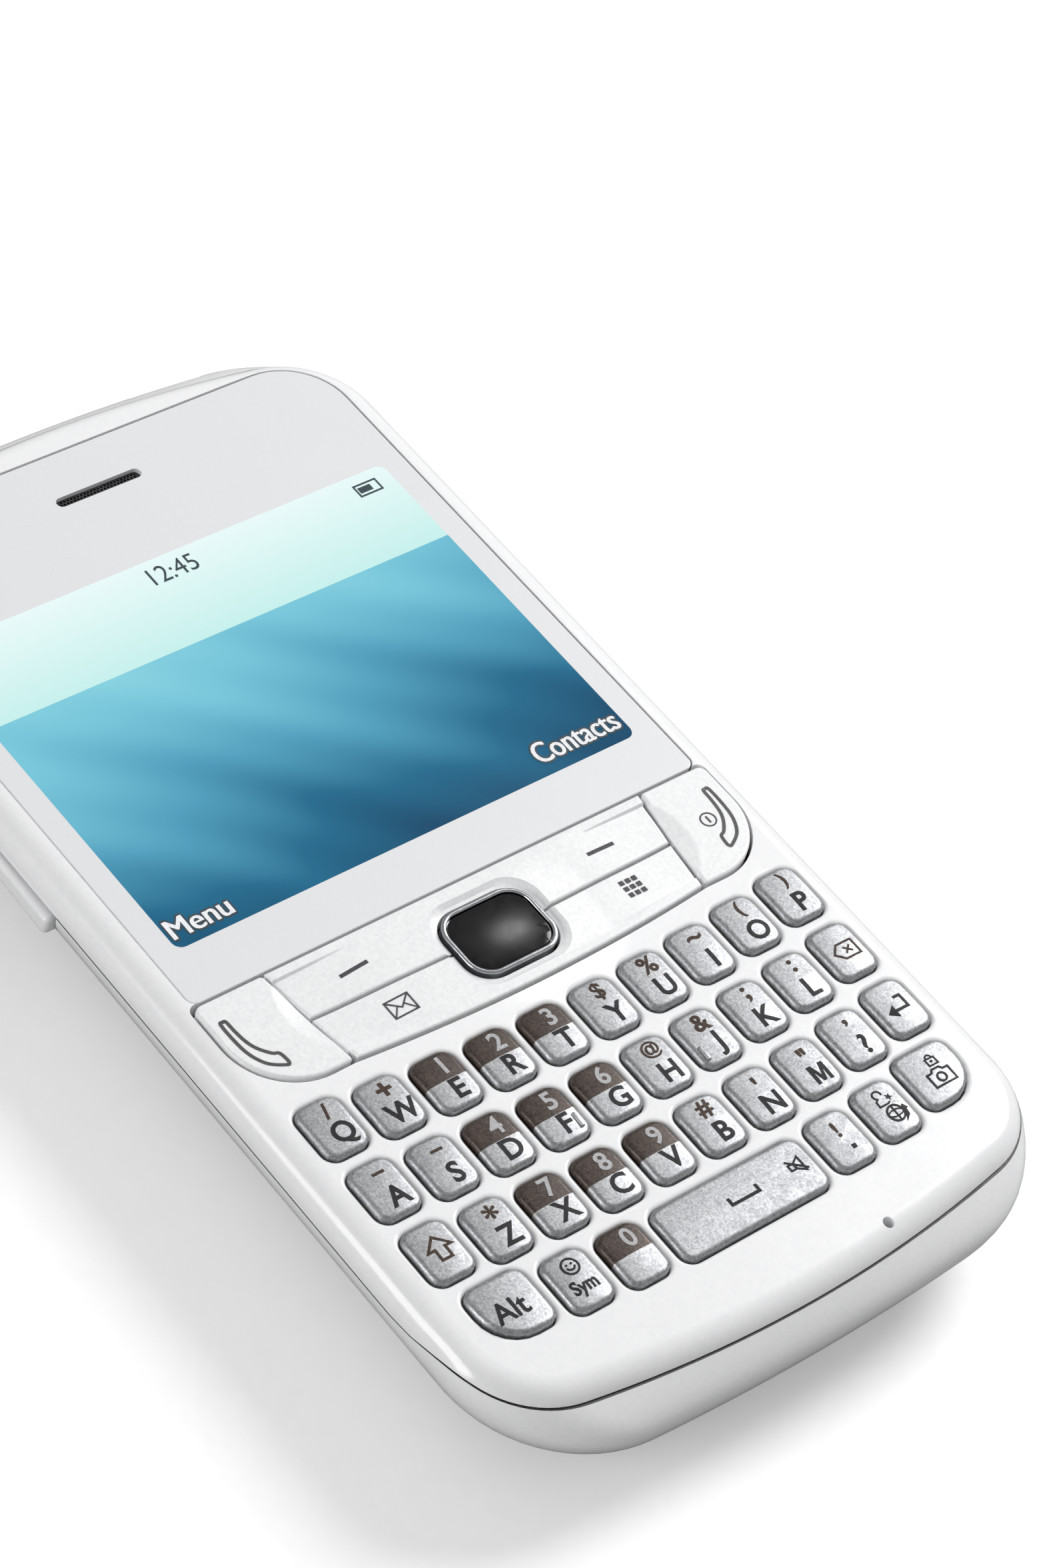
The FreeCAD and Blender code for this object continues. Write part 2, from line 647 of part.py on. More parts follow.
def bar_scoops(upper):
    """Shallow round cuts at both ends of a bar, clear of the band along its outer edge."""
    radius = SCOOP_LENGTH ** 2 / (2 * SCOOP_DEPTH)
    end_x = cluster_half - CALL_TOP_WIDTH - FUNCTION_GAP
    low_y = nav_y - CLUSTER_HEIGHT / 2 if upper else cluster_y
    high_y = cluster_top - BAR_BAND if upper else nav_y + CLUSTER_HEIGHT / 2
    axis_z = function_top - SCOOP_DEPTH + radius
    scoops = [Part.makeCylinder(radius, high_y - low_y, Vector(side * end_x, low_y, axis_z),
                                Vector(0, 1, 0)) for side in (-1, 1)]
    if upper:
        return scoops
    inside = prism(disk(cluster_y + BAR_BAND, CLUSTER_BOW_R - BAR_BAND), 0, face_z * 2)
    return [scoop.common(inside) for scoop in scoops]


def function_bar(upper):
    """Rocking bar that wraps one half of the navigation pad."""
    cap = prism(bar_face(upper, 0), flange_z + BAR_LIFT, function_top)
    cap = bevel_top(cap, function_top, FUNCTION_BEVEL)
    return one_solid(cap.cut(nav_notch() + bar_scoops(upper)))


def nav_ring():
    """Bright ring and carrier of the navigation pad."""
    ring_top = face_z + RING_RISE
    body = prism(nav_outline(RING_WIDTH), flange_z, ring_top)
    glass_z = face_z + NAV_GLASS_RISE - NAV_GLASS_THICK
    return one_solid(body.cut(prism(nav_outline(0), glass_z, ring_top + 1)))


def nav_pad():
    """Black glass of the navigation pad."""
    top = face_z + NAV_GLASS_RISE
    return prism(nav_outline(-SEAT_GAP), top - NAV_GLASS_THICK, top)


def switch_places():
    """Centre of every switch dome on the board."""
    places = [(x, y) for _, x, y, _, _ in key_places()]
    places += [call_switch(-1), call_switch(1), (0, nav_y)]
    for upper in (True, False):
        places += [(side * BAR_SWITCH_X, bar_switch_y(upper)) for side in (-1, 1)]
    return places


# ---- Display ----
def lens_outline(reach):
    """Outline of the display lens, moved outwards."""
    top, bottom = lens_top_y + reach, lens_y - reach
    return rectangle(0, (top + bottom) / 2, 2 * (lens_half + reach), top - bottom,
                     LENS_LOWER_R + reach, LENS_UPPER_R + reach, CORNER_FLAT_COUNT)


def earpiece_slot(z0, z1):
    """Rounded slot in front of the earpiece."""
    length, height = EARPIECE_SLOT
    slot = rectangle(0, earpiece_y, length, height, height * 0.49, flats=CORNER_FLAT_COUNT)
    return prism(slot, z0, z1)


def display_lens():
    """Flat window over the display and its borders."""
    lens = prism(lens_outline(0), lens_z, lens_z + LENS_THICK)
    return lens.cut(earpiece_slot(lens_z - 1, face_z + 1))


def picture_rect(reach, z0, z1):
    """Upright block over the picture area, moved outwards."""
    centre = (picture_y + picture_top) / 2
    return box(0, centre, 2 * (picture_half + reach), PICTURE_HEIGHT + 2 * reach, z0, z1)


def lcd_module():
    """Display frame with its glass standing in the window of the front shell."""
    reach = GLASS_OVERLAP + FRAME_OVERLAP
    frame = picture_rect(reach, frame_z, frame_top)
    tail = box(0, picture_y - reach - FRAME_TAIL / 2, picture_half, FRAME_TAIL, frame_z, frame_top)
    glass = picture_rect(GLASS_OVERLAP, frame_top, pocket_z - SEAT_GAP)
    return one_solid(frame.fuse([tail, glass]))


# ---- Sockets, keys and screws in the shell ----
def jack_axis(y):
    return Vector(jack_x, y, socket_z)


def headset_jack():
    """3.5 mm headset socket: square body, round mouth and a blind bore."""
    mouth = belly_length - SOCKET_SINK
    shoulder = socket_room_y - SEAT_GAP
    back = mouth - JACK_DEPTH - WALL
    body = box(jack_x, (back + shoulder) / 2, JACK_WIDTH, shoulder - back,
               socket_z - JACK_THICK / 2, socket_z + JACK_THICK / 2)
    barrel = Part.makeCylinder(JACK_THICK / 2, mouth - shoulder, jack_axis(shoulder), Vector(0, 1, 0))
    bore = Part.makeCylinder(JACK_R, JACK_DEPTH, jack_axis(mouth), Vector(0, -1, 0))
    return one_solid(body.fuse(barrel).cut(bore))


def usb_block(width_reach, y0, y1, thick_reach):
    """Block about the charging socket's axis."""
    width, _, thick = USB_SHELL
    return box(usb_x, (y0 + y1) / 2, width + 2 * width_reach, y1 - y0,
               socket_z - thick / 2 - thick_reach, socket_z + thick / 2 + thick_reach)


def usb_socket():
    """Charging socket: open metal shell with its contact tongue."""
    mouth = belly_length - SOCKET_SINK
    back = mouth - USB_SHELL[1]
    hollow = usb_block(-USB_WALL, back + USB_WALL * 2, mouth + 1, -USB_WALL)
    width, length, thick = USB_TONGUE
    tongue = box(usb_x, back + USB_WALL * 2 + length / 2, width, length,
                 socket_z - thick / 2, socket_z + thick / 2)
    return one_solid(usb_block(0, back, mouth, 0).cut(hollow).fuse(tongue))


def volume_block(x0, x1, end_reach, z0, z1):
    """Block about the volume key in the left side wall."""
    return Part.makeBox(x1 - x0, VOLUME_LENGTH + 2 * end_reach, z1 - z0,
                        Vector(x0, volume_y - VOLUME_LENGTH / 2 - end_reach, z0))


def volume_levels():
    """Bottom and top of the volume key, just under the parting line."""
    top = face_z - SEAM_DROP_SIDE - VOLUME_GAP
    return top - VOLUME_THICK, top


def volume_key():
    """Long rocker with rounded ends in the side wall, with a flange inside the wall."""
    low, high = volume_levels()
    outside = -half_width - VOLUME_PROUD
    flange_x = -half_width + WALL + VOLUME_GAP
    body = volume_block(outside, flange_x, 0, low, high)
    ends = [edge for edge in body.Edges
            if abs(edge.BoundBox.XMin - outside) < 1e-4 and edge.BoundBox.XLength < 1e-4]
    body = body.makeFillet(VOLUME_PROUD * 0.6, ends)
    flange = volume_block(flange_x, flange_x + VOLUME_INNER, VOLUME_FLANGE, low, high)
    return one_solid(body.fuse(flange))


def housing_screws():
    """Four case screws, driven from the back under the battery cover."""
    seat = board_z - SCREW_SEAT
    screws = []
    for x, y in screw_xy:
        head = sided_post(x, y, SCREW_HEAD_R, seat - SCREW_HEAD_THICK, seat)
        shank = sided_post(x, y, SCREW_R, seat, plate_z - SEAT_GAP)
        slot = box(x, y, SCREW_HEAD_R, SCREW_R / 2, seat - SCREW_HEAD_THICK, seat - SCREW_HEAD_THICK / 2)
        screws.append(one_solid(head.fuse(shank).cut(slot)))
    return Part.makeCompound(screws)


# ---- Housings ----
def socket_cuts():
    """Room for both sockets under the face plate, and their mouths through the end wall."""
    outer = belly_length + 1
    reach = JACK_THICK / 2 + JACK_WALL_GAP
    jack_hole = Part.makeCylinder(reach, outer - socket_room_y, jack_axis(socket_room_y),
                                  Vector(0, 1, 0))
    jack_room = box(jack_x, socket_room_y - JACK_DEPTH / 2, JACK_WIDTH + 2 * JACK_WALL_GAP,
                    JACK_DEPTH, socket_z - reach, plate_z)
    usb_hole = usb_block(USB_GAP, socket_room_y - USB_SHELL[1], outer, USB_GAP)
    return [jack_hole, jack_room, usb_hole]


def microphone_room():
    """Square pocket round the microphone capsule, in the tongue and in the rear wall."""
    size = 2 * (MIC_R + POCKET_GAP)
    return box(MIC_X, mic_y, size, size, plate_z - MIC_THICK - POCKET_GAP - SEAT_GAP, plate_z)


def front_housing():
    """Face plate with every opening, side walls, locating tongue and screw bosses."""
    base_z = face_z - LIP_DROP
    shell = front_form(LIP_DROP + 1).cut(below_seam(0))
    tongue_outer = WALL + LIP_GAP
    tongue_inner = tongue_outer + LIP_THICK
    core = prism(face_outline(tongue_outer), base_z, face_z - SEAM_DROP_END)
    shell = shell.fuse(core).cut(prism(face_outline(tongue_inner), base_z - 1, plate_z))
    shell = shell.fuse([sided_post(x, y, BOSS_R, board_z + SEAT_GAP, plate_z) for x, y in screw_xy])
    holes = [sided_post(x, y, SCREW_R + SCREW_GAP, board_z, plate_z) for x, y in screw_xy]
    holes.append(prism(lens_outline(LENS_GAP), pocket_z, face_z + 1))
    holes.append(picture_rect(GLASS_OVERLAP + LENS_GAP, plate_z - 1, face_z))
    holes.append(earpiece_slot(plate_z - 1, face_z))
    holes += [prism(grown(call_outline(side), FUNCTION_GAP), plate_z - 1, face_z + 1) for side in (-1, 1)]
    holes += [prism(bar_face(upper, FUNCTION_GAP), plate_z - 1, face_z + 1) for upper in (True, False)]
    holes += [key_hole(*place) for place in key_places()]
    holes.append(sided_post(MIC_X, mic_y, MIC_HOLE_R, plate_z - 1, face_z + 1))
    holes.append(microphone_room())
    holes += socket_cuts()
    low, _ = volume_levels()
    holes.append(volume_block(-half_width + WALL, -half_width + 3 * WALL,
                              VOLUME_FLANGE + VOLUME_GAP, low, face_z - SEAM_DROP_SIDE))
    return one_solid(shell.cut(holes))


def cover_outline(reach):
    """Outline of the battery cover, moved outwards."""
    return rectangle(0, 0, 2 * (half_width - COVER_SIDE_MARGIN + reach),
                     2 * (half_length - COVER_END_MARGIN + reach), COVER_CORNER_R + reach)


def back_holes(z0, z1):
    """Camera window and loudspeaker slots through the back."""
    holes = [post(CAMERA_X, camera_y, BARREL_R + BARREL_GAP, z0, z1)]
    length, height = SLOT_SIZE
    for index in range(SPEAKER_SLOTS):
        y = camera_y + (index - (SPEAKER_SLOTS - 1) / 2) * SLOT_PITCH
        slot = rectangle(SPEAKER_X, y, length, height, height * 0.49, flats=CORNER_FLAT_COUNT)
        holes.append(prism(slot, z0, z1))
    return holes


def battery_cover():
    """Thin shell over the whole back, following its curved sides and ends."""
    cover = prism(cover_outline(0), -1, face_z / 2).common(rear_form(0))
    return one_solid(cover.cut(rear_form(COVER_THICK)).cut(back_holes(-1, face_z / 2)))


def bay_rect(reach):
    """Outline of the battery or, moved outwards, of its bay."""
    return rectangle(0, (bay_bottom + bay_top) / 2, BATTERY_WIDTH + 2 * reach,
                     bay_top - bay_bottom + 2 * reach, BATTERY_CORNER_R + reach,
                     flats=CORNER_FLAT_COUNT)


def rear_housing():
    """Rear shell with the board cavity, battery bay, pockets and screw seats."""
    shell = rear_form(0).common(below_seam(SEAM_GAP))
    holes = [prism(face_outline(WALL), board_z, face_z)]
    holes.append(prism(cover_outline(COVER_GAP), -1, face_z / 2).cut(rear_form(recess_z)))
    holes.append(prism(bay_rect(BATTERY_GAP), -1, bay_z))
    camera_room = CAMERA_SIZE + 2 * POCKET_GAP
    holes.append(box(CAMERA_X, camera_y, camera_room, camera_room, rear_floor, face_z))
    holes.append(box(SPEAKER_X, camera_y, SPEAKER_SIZE[0] + 2 * POCKET_GAP,
                     SPEAKER_SIZE[1] + 2 * POCKET_GAP, rear_floor, face_z))
    holes += back_holes(-1, rear_floor)
    seat = board_z - SCREW_SEAT
    for x, y in screw_xy:
        holes.append(sided_post(x, y, SCREW_HEAD_R + BOSS_GAP, -1, seat))
        holes.append(sided_post(x, y, SCREW_R + SCREW_GAP, seat, board_z))
    width, length, depth = RIB_POCKET
    for index in range(RIB_POCKETS):
        y = (bay_bottom + bay_top) / 2 + (index - (RIB_POCKETS - 1) / 2) * RIB_PITCH
        for side in (-1, 1):
            x = side * (half_width - RIB_POCKET_INSET)
            holes.append(box(x, y, width, length, board_z - depth, board_z))
    holes.append(microphone_room())
    holes += socket_cuts()
    low, _ = volume_levels()
    holes.append(volume_block(-half_width - 1, -half_width + 2 * WALL, VOLUME_GAP,
                              low - VOLUME_GAP, face_z))
    holes.append(volume_block(-half_width + WALL, -half_width + 2 * WALL,
                              VOLUME_FLANGE + VOLUME_GAP, low - VOLUME_GAP, face_z))
    return one_solid(shell.cut(holes))


# ---- Parts inside ----
def keypad_outline():
    """Outline that the membrane and the dome film share, inside the tongue."""
    inset = WALL + LIP_GAP + LIP_THICK + SEAT_GAP * 4
    outline = Part.Face(face_outline(inset))
    top = lens_y - SEAT_GAP * 4
    bottom = space_y - cap_height / 2 - FLANGE_REACH - SEAT_GAP
    strip = polygon([(-half_width, bottom, 0), (half_width, bottom, 0),
                     (half_width, top, 0), (-half_width, top, 0)])
    return outline.common(Part.Face(strip)).Faces[0]


def boss_clear(z0, z1):
    """Square room for the screw bosses through a sheet."""
    size = 2 * (BOSS_R + BOSS_GAP)
    return [box(x, y, size, size, z0, z1) for x, y in screw_xy]


def keypad_membrane():
    """Rubber sheet under the keys, with a plunger nub over every switch dome."""
    sheet = prism(keypad_outline(), membrane_z, membrane_top)
    sheet = sheet.cut(boss_clear(membrane_z - 1, membrane_top + 1))
    nubs = [box(x, y, NUB, NUB, nub_z, membrane_z) for x, y in switch_places()]
    return one_solid(sheet.fuse(nubs))


def dome_sheet():
    """Film with one snap dome under every plunger."""
    film = prism(keypad_outline(), film_z, film_z + FILM_THICK)
    film = film.cut(boss_clear(film_z - 1, dome_top))
    domes = [box(x, y, DOME, DOME, film_z + FILM_THICK / 2, dome_top) for x, y in switch_places()]
    return one_solid(film.fuse(domes))


def main_board():
    """Circuit board with its shield cans under the display."""
    board = prism(face_outline(WALL + BOARD_GAP), board_z, film_z)
    key_room = volume_block(-half_width, -half_width + 2 * WALL, VOLUME_FLANGE + VOLUME_GAP,
                            board_z - 1, film_z + 1)
    board = board.cut(boss_clear(board_z - 1, film_z + 1) + socket_cuts() + [key_room])
    room = PICTURE_HEIGHT - 2 * SHIELD_SIDE_GAP
    width = picture_half - SHIELD_SIDE_GAP
    middle = (picture_y + picture_top) / 2
    cans = [box(side * (width + SHIELD_SIDE_GAP) / 2, middle, width, room, film_z, frame_z - SEAT_GAP)
            for side in (-1, 1)]
    return one_solid(board.fuse(cans))


def battery():
    """Flat cell in its bay, resting on the cover side."""
    return prism(bay_rect(0), COVER_THICK + BATTERY_LIFT, bay_z - SEAT_GAP)


def camera_module():
    """Square camera body with its round barrel in the back window."""
    body = box(CAMERA_X, camera_y, CAMERA_SIZE, CAMERA_SIZE, rear_floor, board_z - SEAT_GAP)
    barrel = post(CAMERA_X, camera_y, BARREL_R, BARREL_SINK, rear_floor)
    pupil = post(CAMERA_X, camera_y, BARREL_R / 2, BARREL_SINK, BARREL_SINK * 2)
    return one_solid(body.fuse(barrel).cut(pupil))


def loudspeaker():
    """Boxed loudspeaker behind the slots of the back."""
    return box(SPEAKER_X, camera_y, *SPEAKER_SIZE, rear_floor, board_z - SEAT_GAP)


def earpiece():
    """Receiver capsule behind the slot of the lens."""
    return box(0, earpiece_y, *EARPIECE_SIZE, film_z, plate_z - SEAT_GAP)


def microphone():
    """Microphone capsule behind its pinhole at the bottom end."""
    top = plate_z - SEAT_GAP
    return sided_post(MIC_X, mic_y, MIC_R, top - MIC_THICK, top)


# ---- The assembly ----
def build():
    nodes = {"front_housing": front_housing(), "rear_housing": rear_housing(),
             "battery_cover": battery_cover(), "display_lens": display_lens(),
             "lcd_module": lcd_module(), "keypad_membrane": keypad_membrane(),
             "dome_sheet": dome_sheet(), "main_board": main_board(), "battery": battery(),
             "camera_module": camera_module(), "loudspeaker": loudspeaker(),
             "earpiece": earpiece(), "microphone": microphone(),
             "headset_jack": headset_jack(), "usb_socket": usb_socket(),
             "housing_screws": housing_screws(), "volume_key": volume_key(),
             "call_key": function_key(-1), "end_key": function_key(1),
             "soft_key_bar": function_bar(True), "shortcut_key_bar": function_bar(False),
             "nav_ring": nav_ring(), "nav_pad": nav_pad()}
    for place in key_places():
        nodes["key_" + place[0]] = keyboard_key(*place)
    return nodes


os.makedirs("parts", exist_ok=True)
for node, shape in build().items():
    shape.exportStep("parts/" + node + ".step")
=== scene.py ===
import math
import bmesh
import bpy
from mathutils import Matrix, Vector


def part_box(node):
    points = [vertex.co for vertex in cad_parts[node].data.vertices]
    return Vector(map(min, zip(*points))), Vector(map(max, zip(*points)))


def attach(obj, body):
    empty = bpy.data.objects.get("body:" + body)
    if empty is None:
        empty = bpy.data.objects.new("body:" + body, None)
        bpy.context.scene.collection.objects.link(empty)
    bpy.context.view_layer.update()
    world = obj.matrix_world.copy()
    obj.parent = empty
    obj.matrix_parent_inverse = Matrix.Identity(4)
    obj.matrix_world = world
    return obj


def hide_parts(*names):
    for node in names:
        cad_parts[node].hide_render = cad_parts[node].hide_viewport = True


# A white messaging phone with a letter keyboard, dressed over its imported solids. Pieces are
# modelled in millimetres and settled into the frame's metres when they are finished.

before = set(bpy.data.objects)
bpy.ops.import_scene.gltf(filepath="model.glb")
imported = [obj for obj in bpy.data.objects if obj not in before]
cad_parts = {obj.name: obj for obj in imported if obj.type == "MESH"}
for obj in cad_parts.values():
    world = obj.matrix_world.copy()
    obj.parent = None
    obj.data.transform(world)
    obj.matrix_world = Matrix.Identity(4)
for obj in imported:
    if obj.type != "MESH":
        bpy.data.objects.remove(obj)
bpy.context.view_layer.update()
MM = 0.001


def node_span(node):
    """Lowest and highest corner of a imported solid, in millimetres."""
    low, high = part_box(node)
    return Vector(low) / MM, Vector(high) / MM


def node_middle(node):
    """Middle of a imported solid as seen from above."""
    low, high = node_span(node)
    return (low.x + high.x) / 2, (low.y + high.y) / 2


# ---- Sizes that the frame gives ----
half_width, _, face_z = node_span("front_housing")[1]
rear_high = node_span("rear_housing")[1]
lens_low, lens_high = node_span("display_lens")
cover_high = node_span("battery_cover")[1]
call_low, call_high = node_span("call_key")
ring_high = node_span("nav_ring")[1]
pad_low, pad_high = node_span("nav_pad")
volume_low, volume_high = node_span("volume_key")
usb_low, usb_high = node_span("usb_socket")
jack_low, jack_high = node_span("headset_jack")

# ---- Shell ----
FACE_CORNER_R = 8.9
FACE_BOW_R = 125.0          # bow of both ends of the face
FACE_EDGE_R = 2.5
SEAM_DROP_SIDE = 2.9        # parting line below the face, along the sides
SEAM_DROP_END = 1.3
SEAM_FLAT_END = 7.85
SEAM_RISE_RUN = 10.0
SEAM_GAP = 0.15
BELLY_DROP = 4.4
END_BULGE = 2.06
BELLY_CORNER_R = 12.4
BELLY_BOW_R = 250.0
BACK_CORNER_R = 10.0
SIDE_TUCK = 13.0
END_TUCK = 7.5
TUCK_TURN = math.radians(72.0)
WALL = 1.3
PLATE_THICK = 1.6
COVER_THICK = 1.0
COVER_GAP = 0.1
COVER_CORNER_R = 7.0
BOARD_DROP = 4.75           # floor of the board's room below the face
JACK_HOLE_R = 2.7
SOCKET_INSET = 0.12         # both sockets end this far inside the shell's surface
USB_GAP = 0.2
VOLUME_GAP = 0.25
VOLUME_LENGTH = 19.0
VOLUME_DEPTH = 2.4
VOLUME_ROUNDING = 0.5
VOLUME_WAIST = 0.18         # how much lower the key is at its middle
CAMERA_WINDOW_R = 3.2
CAMERA_GAP = 0.08
SPEAKER_SLOT = (9, 0.8)
SPEAKER_PITCH = 1.7
EARPIECE_SLOT = (9, 1.1)
PINHOLE_R = 0.5
LENS_CORNERS = (0.9, 0.9, 6.2, 6.2)
LENS_GAP = 0.12
LENS_ROUNDING = 0.12
WINDOW_HEIGHT = 44          # opening of the face plate under the lens
WINDOW_LEDGE = 1            # the display's frame reaches this far past it on each side
INSIDE = 5                  # tools of the face reach down to this height
half_length = rear_high.y - END_BULGE

# ---- Keys ----
FLANGE_REACH = 0.42
KEY_CORNER_R = 1.15
KEY_CLEARANCE = 0.12
CAP_GROWTH = (0.12, 0.15)   # a cap reaches this far past its packed one, and sits higher
CAP_RISE = 0.2
CAP_SHOULDER = 0.42
CORNER_KEY_R = 3.5
LIP = 0.36                  # rounded lip of the shell round every key
LIP_PLATE = 0.45
KEY_HOLE_DEPTH = 4
KEY_TOP = face_z + 0.56
KEY_FOOT = face_z - 1.7
KEY_CROWN = 0.15
SPLIT_RISE = 0.15           # two-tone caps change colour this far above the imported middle

# ---- Function cluster ----
CALL_TOP_WIDTH = 7.0
CALL_FOOT_WIDTH = 8.44
CALL_OUTER_R = 6.2
CALL_TOP_R = 0.8
SMALL_R = 0.35
CALL_FOOT_RISE = 0.9
CLUSTER_HEIGHT = 11.5
CLUSTER_TOP_GAP = 0.13      # the gap is wider along the straight top
CLUSTER_BOW_R = 192.7
DIVIDER_BOW_R = 382.0
FUNCTION_GAP = 0.27
RING_WIDTH = 0.45
HOLLOW_LENGTH = 8.8         # sloping hollow along the inner edge of the call and end keys
HOLLOW_WIDTH = 1.6
HOLLOW_DEPTH = 0.4
CALL_ROUNDING = 0.3
RIDGE_ROUNDING = 0.22       # where the hollow meets the top
BAR_ROUNDING = 0.22
BAR_SLICES = 36             # cuts across half a bar that let it be bowed and hollowed
BAR_BAND = 0.9              # level band along the outer edge of each bar
BAND_STEP = 0.14
SCOOP_LENGTH = 10.2         # hollow end of a bar beside its band
SCOOP_DEPTH = 0.35
BRIM_STEPS = ((0.3, 0.07), (0.45, 0.35), (0.9, 0.7))    # dished brim round the pad: out, up
BRIM_DEPTH = 0.42
NAV_CORNER_R = 1.9
NAV_FIT = 0.05              # the glass is this much smaller than the ring's mouth on each side
RING_DEPTH = 0.5
RING_ROUNDING = 0.17
PAD_ROUNDING = 0.14
PAD_CROWN = 0.06
cluster_half, cluster_top = -call_low.x, call_high.y
cluster_low = cluster_top - CLUSTER_HEIGHT
foot_y = cluster_low + CALL_FOOT_RISE
nav_y = (pad_low.y + pad_high.y) / 2
function_top = call_high.z
nav_width = pad_high.x - pad_low.x + 2 * NAV_FIT
nav_height = pad_high.y - pad_low.y + 2 * NAV_FIT

TINY = 1e-3
STRIP = 2e-3                # vertices this close in line are moved as one
ABOVE = 2.0                 # tools reach this far over the face


# ---- Hands: the few moves that every piece is made with ----
def take(obj):
    """Make one object the only selected and active one."""
    bpy.ops.object.select_all(action="DESELECT")
    obj.select_set(True)
    bpy.context.view_layer.objects.active = obj


def edit(obj, whole=False):
    """Open one object in edit mode, with all of it selected if wanted."""
    take(obj)
    bpy.ops.object.mode_set(mode="EDIT")
    if whole:
        bpy.ops.mesh.select_all(action="SELECT")


def leave_edit():
    bpy.ops.object.mode_set(mode="OBJECT")


def choose(kind, test):
    """In edit mode, select the vertices, edges or faces that pass a test."""
    bpy.ops.mesh.select_mode(type=kind)
    bpy.ops.mesh.select_all(action="DESELECT")
    work = bmesh.from_edit_mesh(bpy.context.edit_object.data)
    found = [part for part in {"VERT": work.verts, "EDGE": work.edges, "FACE": work.faces}[kind]
             if test(part)]
    for part in found:
        part.select_set(True)
    bmesh.update_edit_mesh(bpy.context.edit_object.data)
    return len(found)


def shift(test, x=0, y=0, z=0):
    """In edit mode, move the vertices that pass a test."""
    if choose("VERT", lambda vert: test(vert.co)):
        bpy.ops.transform.translate(value=(x, y, z))


def draw_out(z):
    """In edit mode, extrude the selected faces up or down."""
    bpy.ops.mesh.extrude_region_move(TRANSFORM_OT_translate={"value": (0, 0, z)})


def round_edges(test, size, segments):
    """In edit mode, round the edges that pass a test."""
    if choose("EDGE", test):
        bpy.ops.mesh.bevel(offset=size, segments=segments, affect="EDGES", clamp_overlap=False)


def strips(axis, level):
    """In edit mode, where the narrow strips start that hold every vertex above a level once."""
    starts = []
    work = bmesh.from_edit_mesh(bpy.context.edit_object.data)
    for place in sorted(vert.co[axis] for vert in work.verts if vert.co.z > level):
        if not starts or place >= starts[-1] + STRIP:
            starts.append(place)
    return starts


def slice_at(axis, places):
    """In edit mode, cut edge loops across the mesh at places along an axis."""
    normal = [0, 0, 0]
    normal[axis] = 1
    for place in places:
        bpy.ops.mesh.select_all(action="SELECT")
        bpy.ops.mesh.bisect(plane_co=[place * part for part in normal], plane_no=normal,
                            threshold=1e-5)


def middle(edge):
    return (edge.verts[0].co + edge.verts[1].co) / 2


def is_upright(edge):
    run = edge.verts[1].co - edge.verts[0].co
    return abs(run.z) > 0.02 and Vector(run.xy).length < TINY


def block(name, corners, low, high):
    """Cube, left in edit mode, whose upright edges stand at corners given anticlockwise."""
    xs, ys = [c[0] for c in corners], [c[1] for c in corners]
    size = (max(xs) - min(xs), max(ys) - min(ys), high - low)
    centre = ((max(xs) + min(xs)) / 2, (max(ys) + min(ys)) / 2, (low + high) / 2)
    bpy.ops.object.select_all(action="DESELECT")
    bpy.ops.mesh.primitive_cube_add(size=1, location=centre, scale=size)
    piece = bpy.context.object
    piece.name = piece.data.name = name
    bpy.ops.object.transform_apply(location=True, rotation=False, scale=True)
    edit(piece)
    square = ((min(xs), min(ys)), (max(xs), min(ys)), (max(xs), max(ys)), (min(xs), max(ys)))
    for (x, y), (to_x, to_y) in zip(square, corners):
        if abs(to_x - x) + abs(to_y - y) > 1e-6:
            shift(lambda co: abs(co.x - x) < 1e-4 and abs(co.y - y) < 1e-4, to_x - x, to_y - y)
    return piece


def rectangle(x, y, width, height):
    """Corners of a rectangle, anticlockwise from lower left."""
    return ((x - width / 2, y - height / 2), (x + width / 2, y - height / 2),
            (x + width / 2, y + height / 2), (x - width / 2, y + height / 2))


def round_upright(x, y, radius, segments=6):
    """In edit mode, round the upright edges that stand near a place."""
    def near(edge):
        spot = middle(edge)
        return is_upright(edge) and abs(spot.x - x) < 0.05 and abs(spot.y - y) < 0.05
    round_edges(near, radius, segments)


def round_corners(corners, radii, segments=6):
    for (x, y), radius in zip(corners, radii):
        round_upright(x, y, radius, segments)


def round_level(z, size, segments):
    """In edit mode, round the edges of a level that stand over upright faces."""
    def on_brim(edge):
        if len(edge.link_faces) != 2 or any(abs(vert.co.z - z) > TINY for vert in edge.verts):
            return False
        return abs(edge.link_faces[0].normal.z - edge.link_faces[1].normal.z) > 0.5
    round_edges(on_brim, size, segments)


def plug(name, corners, low, high, radii=(), segments=6):
    """Finished block with its upright edges rounded."""
    piece = block(name, corners, low, high)
    round_corners(corners, radii, segments)
    leave_edit()
    return piece


def drum(name, vertices, radius, depth, spot, turn=(0, 0, 0)):
    """Cylinder at its size and place."""
    bpy.ops.object.select_all(action="DESELECT")
    bpy.ops.mesh.primitive_cylinder_add(vertices=vertices, radius=radius, depth=depth,
                                        location=spot, rotation=turn)
    bpy.ops.object.transform_apply(location=True, rotation=True)
    piece = bpy.context.object
    piece.name = piece.data.name = name
    return piece


def applied(piece, kind, **settings):
    """Add a modifier with its settings and apply it."""
    take(piece)
    modifier = piece.modifiers.new(kind.lower(), kind)
    for name, value in settings.items():
        setattr(modifier, name, value)
    bpy.ops.object.modifier_apply(modifier=modifier.name)
    return piece


def throw_away(piece):
    bpy.data.objects.remove(piece, do_unlink=True)


def cut_away(piece, *tools, keep="DIFFERENCE"):
    """Cut a piece with tools that are then thrown away."""
    for tool in tools:
        applied(piece, "BOOLEAN", operation=keep, object=tool, solver="EXACT")
        throw_away(tool)
    return piece


